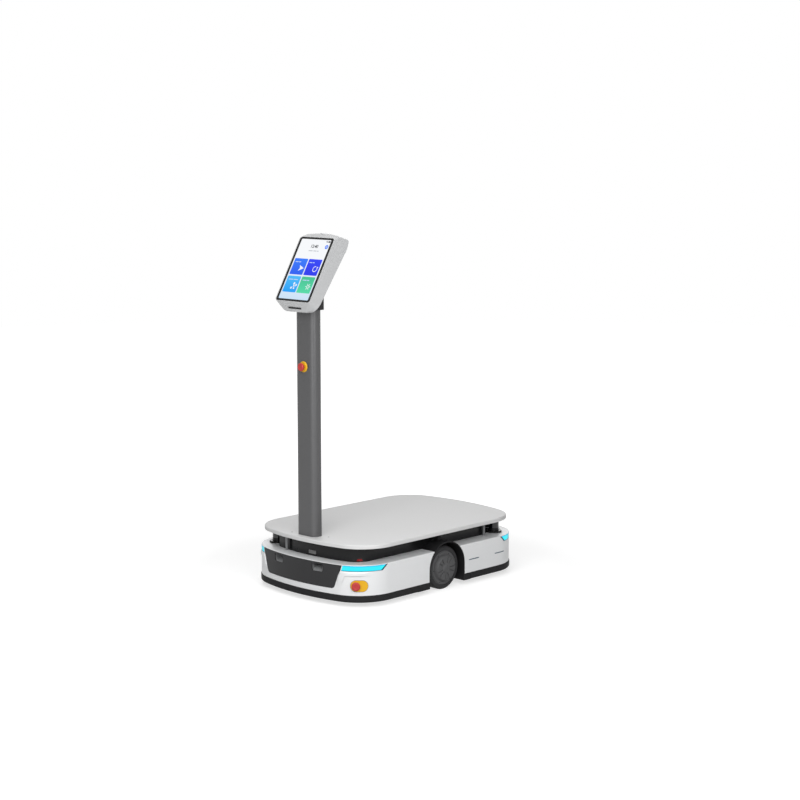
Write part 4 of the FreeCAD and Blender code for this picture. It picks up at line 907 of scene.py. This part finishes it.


# Core housing: a small red window at the foot of its front right corner, and a grey block on the ledge that stands in
# for a painted reflection on the glossy core
core = {
    "cornerX": 155.0, "cornerY": 298.8, "corner": 66.0, "windowAim": 36.0, "windowFoot": 22.0, "windowTop": 14.0,
    "windowLow": 146.5, "windowHigh": 153.5, "windowProud": 0.5, "ledge": 143.0,
    "reflectionBlock": (28.0, 34.0, 4.0, 7.0, 19.0), "wallY": 384.0,
}


def makeCoreParts():
    foot, top = core["windowFoot"] / 2, core["windowTop"] / 2
    window = flatShape("ledgeWindow", ((-foot, core["windowLow"]), (foot, core["windowLow"]), (top, core["windowHigh"]),
                                       (-top, core["windowHigh"])), -0.3, core["windowProud"])
    sliced(window, "X", -foot, foot, 2.0)
    for vertex in window.data.vertices:
        run, height, out = vertex.co / mm
        angle = -math.radians(core["windowAim"]) + run / core["corner"]
        radius = core["corner"] + out
        vertex.co = Vector((core["cornerX"] + radius * math.cos(angle), -core["cornerY"] + radius * math.sin(angle),
                            height)) * mm
    finishPiece(outwards(window), "chassis", finishes["windowRed"], 50)
    # a grey block on the ledge at the core's front, standing in for a painted reflection on the glossy core
    middle, wide, deep, rise, top = core["reflectionBlock"]
    reflectionBlock = roundedPlate("coreReflectionBlock", middle, -core["wallY"] + 2, wide, deep + 4, 2.0, core["ledge"] + rise,
                           core["ledge"] + top)
    softenEdges(reflectionBlock, 1.6 * mm, 3)
    finishPiece(reflectionBlock, "chassis", finishes["reflectionGrey"])


makeCoreParts()
print("deck and core dressed")


# Driven wheels: a flange with screws, and a raised disc with paired slots, over the plain cover
wheel = {
    "x": 268.0, "y": 5.0, "z": 75.0, "screwCircle": 52.0, "screws": 6, "screwRadius": 2.1, "firstScrew": 34.0,
    "disc": ((57.4, -1.0), (57.4, 1.4), (56.4, 2.2), (47.2, 2.2), (46.4, 1.2), (44.8, 1.2), (42.6, 11.4), (40.8, 13.2),
             (15.0, 12.2), (13.6, 13.6), (11.6, 14.4)),
    "slot": (13.5, 36.5, 3.2), "slotFloor": 8.6, "slotPairs": 5, "slotSpread": 13.0, "firstPair": 9.0,
}


def makeWheelDiscs():
    inner, outer, wide = wheel["slot"]
    for side, hand in (("left", -1), ("right", 1)):
        hub = place(hand * wheel["x"] * mm, wheel["y"] * mm, wheel["z"] * mm, "Y", hand * 90)
        disc = turned(f"wheelDisc-{side}", wheel["disc"], 64)
        bars = []
        for pair in range(wheel["slotPairs"]):
            for lean in (-1, 1):
                bar = roundedPlate("slot", (inner + outer) / 2 + 4, 0, outer - inner, wide, wide / 2, wheel["slotFloor"], 15.0)
                bar.data.transform(place(0, 0, 0, "Z", wheel["firstPair"] + pair * 360 / wheel["slotPairs"] +
                                         lean * wheel["slotSpread"]))
                bars.append(bar)
        slots = joinPieces("slots", bars)
        useModifier(disc, "BOOLEAN", object=slots, operation="DIFFERENCE", solver="EXACT")
        bpy.data.objects.remove(slots)
        softenEdges(disc, 0.35 * mm, 2, 35)
        disc.data.transform(hub)
        finishPiece(disc, f"drive_{side}", finishes["wheelDark"], 35)
        spots = []
        for index in range(wheel["screws"]):
            angle = wheel["firstScrew"] + index * 360 / wheel["screws"]
            spots.append(hub @ place(0, 0, 0, "Z", angle) @ Matrix.Translation((wheel["screwCircle"] * mm, 0, 2.2 * mm)))
        scatter(f"wheelScrews-{side}", makeScrew("screw", wheel["screwRadius"], 0.6), spots, f"drive_{side}",
                finishes["screwDark"])


makeWheelDiscs()
print("wheels dressed")


# Head: a dark insert deep in the chin's slot
chinSlot = {"low": -131.95, "long": 61.2, "tall": 3.8, "back": -25.8, "front": -21.4}


def makeHeadParts():
    insert = roundedPlate("chinInsert", 0, chinSlot["low"], chinSlot["long"], chinSlot["tall"], 9.0, chinSlot["back"],
                          chinSlot["front"], 8)
    softenEdges(insert, 0.5 * mm)
    insert.data.transform(glassPlace)
    finishPiece(insert, "chassis", finishes["rubberBlack"])


makeHeadParts()


# Underside and rear: screws in the pan, bolts in the caster plates, axle nuts, and two charging contacts
under = {"panLevel": 19.0, "panScrews": ((0, -390), (0, 390), (-70, -380), (70, -380), (-70, 380), (70, 380), (-235, -150),
                                         (235, -150), (-235, 160), (235, 160), (-110, 0), (110, 0)),
         "screwRadius": 4.0, "screwProud": 1.6, "boltAt": 23.0, "plateLevel": 77.0, "boltRadius": 4.2, "boltProud": 2.6,
         "nutRadius": 6.0, "nutProud": 3.0, "nutX": 13.6, "axleZ": 25.0, "trail": 22.0}
casters = {"front_left": (-165.0, -318.0), "front_right": (165.0, -318.0), "rear_left": (-165.0, 300.0),
           "rear_right": (165.0, 300.0)}


def makeUnderside():
    down = place(0, 0, 0, "X", 180)
    spots = [Matrix.Translation((x * mm, y * mm, under["panLevel"] * mm)) @ down for x, y in under["panScrews"]]
    scatter("panScrews", makeScrew("screw", under["screwRadius"], under["screwProud"]), spots, "chassis",
            finishes["zincSteel"])
    spots = []
    for name, (x, y) in casters.items():
        for offX in (-1, 1):
            for offY in (-1, 1):
                spots.append(Matrix.Translation(((x + offX * under["boltAt"]) * mm, (y + offY * under["boltAt"]) * mm,
                                                 under["plateLevel"] * mm)) @ down)
        nuts = []
        for hand in (-1, 1):
            nut = turned("nut", ((under["nutRadius"], 0), (under["nutRadius"], under["nutProud"] * 0.8),
                                 (under["nutRadius"] * 0.85, under["nutProud"])), 6)
            nut.data.transform(place((x + hand * under["nutX"]) * mm, (y + under["trail"]) * mm, under["axleZ"] * mm, "Y",
                                     hand * 90))
            nuts.append(outwards(nut))
        finishPiece(joinPieces(f"casterNuts-{name}", nuts), "caster_" + name, finishes["zincSteel"], 25)
    scatter("casterBolts", makeScrew("bolt", under["boltRadius"], under["boltProud"]), spots, "chassis",
            finishes["zincSteel"])


contacts = {"y": 428.6, "z": 84.0, "frame": (92.0, 30.0, 5.0), "strip": (30.0, 9.0, 2.0), "apart": 40.0, "proud": 1.4}


def makeContacts():
    turnBack = place(0, contacts["y"] * mm, contacts["z"] * mm, "Z", 180) @ place(0, 0, 0, "X", 90)
    plate = roundedPlate("chargeFrame", 0, 0, *contacts["frame"], 0.0, contacts["proud"] + 1.2)
    softenEdges(plate, 0.6 * mm)
    plate.data.transform(turnBack)
    finishPiece(plate, "chassis", finishes["rubberBlack"])
    strips = []
    for hand in (-1, 1):
        strip = roundedPlate("strip", hand * contacts["apart"] / 2, 0, *contacts["strip"], 1.0, contacts["proud"] + 1.9)
        softenEdges(strip, 0.5 * mm)
        strips.append(strip)
    pair = joinPieces("chargeContacts", strips)
    pair.data.transform(turnBack)
    finishPiece(pair, "chassis", finishes["contactBrass"])


makeUnderside()
makeContacts()
print("underside and rear dressed")


# Stage: a pale floor, soft lamps and the photograph's camera
stage = {"floorRadius": 9.0, "floorColour": 0.5, "floorLift": 0.65, "worldLight": 0.06, "fadeFrom": 0.7, "fadeTo": 1.5}
camera = {"place": (4.3377, -4.3578, 1.5283), "azimuth": 44.4449, "elevation": 8.3264, "lens": 80.317}
lamps = [
    # name, place, target, size, power
    ("keySoftbox", (2.6, -2.3, 2.9), (0.0, -0.2, 0.4), 1.8, 43.0),
    ("frontSoftbox", (0.9, -2.2, 1.9), (0.0, -0.2, 0.3), 1.2, 23.0),
    ("sideSoftbox", (2.4, -0.9, 1.3), (0.0, -0.2, 0.4), 1.2, 27.0),
    ("topSoftbox", (0.0, -0.9, 3.4), (0.0, -0.2, 0.0), 2.2, 29.0),
    ("lowSoftbox", (1.6, -3.2, 0.7), (0.0, -0.2, 0.4), 1.5, 20.0),
    ("backSoftbox", (-2.4, 3.0, 2.2), (0.0, 0.0, 0.5), 2.4, 30.0),
]


def makeStage():
    bpy.ops.mesh.primitive_circle_add(vertices=96, radius=stage["floorRadius"], fill_type="NGON")
    floor = named("studioFloor")
    material = bpy.data.materials.new("paleFloor")
    material.use_nodes = True
    tree = material.node_tree
    tree.nodes.clear()
    output = tree.nodes.new("ShaderNodeOutputMaterial")
    matte = tree.nodes.new("ShaderNodeBsdfDiffuse")
    shade = stage["floorColour"]
    matte.inputs["Color"].default_value = (shade, shade, shade, 1)
    glow = tree.nodes.new("ShaderNodeEmission")
    both = tree.nodes.new("ShaderNodeAddShader")
    link(tree, matte.outputs[0], both.inputs[0])
    link(tree, glow.outputs[0], both.inputs[1])
    # the floor brightens to plain white away from the robot, where its shadow ends
    coords = tree.nodes.new("ShaderNodeTexCoord")
    far = tree.nodes.new("ShaderNodeVectorMath")
    far.operation = "LENGTH"
    link(tree, coords.outputs["Object"], far.inputs[0])
    lift = rangeOf(tree, far.outputs["Value"], stage["fadeFrom"], stage["fadeTo"], stage["floorLift"], 1.0)
    link(tree, mathOf(tree, "MULTIPLY", seenRays(tree), lift), glow.inputs["Strength"])
    # from below the floor is clear, so that the underside shows
    clear = tree.nodes.new("ShaderNodeBsdfTransparent")
    sides = tree.nodes.new("ShaderNodeNewGeometry")
    either = tree.nodes.new("ShaderNodeMixShader")
    link(tree, sides.outputs["Backfacing"], either.inputs[0])
    link(tree, both.outputs[0], either.inputs[1])
    link(tree, clear.outputs[0], either.inputs[2])
    link(tree, either.outputs[0], output.inputs["Surface"])
    floor.data.materials.append(material)
    world = bpy.data.worlds.new("studioWorld")
    bpy.context.scene.world = world
    world.use_nodes = True
    tree = world.node_tree
    backdrop = tree.nodes["Background"]
    backdrop.inputs["Color"].default_value = (1, 1, 1, 1)
    link(tree, rangeOf(tree, seenRays(tree), 0.0, 1.0, stage["worldLight"], 1.0), backdrop.inputs["Strength"])


def seenRays(tree):
    # 1 for rays that the camera, a mirror or glass sends out, 0 for the light that falls on things
    path = tree.nodes.new("ShaderNodeLightPath")
    seen = mathOf(tree, "MAXIMUM", path.outputs["Is Camera Ray"], path.outputs["Is Glossy Ray"])
    return mathOf(tree, "MAXIMUM", seen, path.outputs["Is Transmission Ray"])


def makeLamps():
    for name, spot, target, size, power in lamps:
        aim = (Vector(target) - Vector(spot)).to_track_quat("-Z", "Y").to_euler()
        bpy.ops.object.light_add(type="AREA", location=spot, rotation=aim)
        light = named(name)
        light.data.shape = "SQUARE"
        light.data.size = size
        light.data.energy = power


def makeCamera():
    turn = (math.radians(90 - camera["elevation"]), 0, math.radians(camera["azimuth"]))
    bpy.ops.object.camera_add(location=camera["place"], rotation=turn)
    view = named("photoCamera")
    view.data.lens = camera["lens"]
    view.data.sensor_width = 36.0
    view.data.clip_end = 60.0
    bpy.context.scene.camera = view


makeStage()
makeLamps()
makeCamera()
bpy.context.scene.view_settings.view_transform = "Standard"
print("stage made")
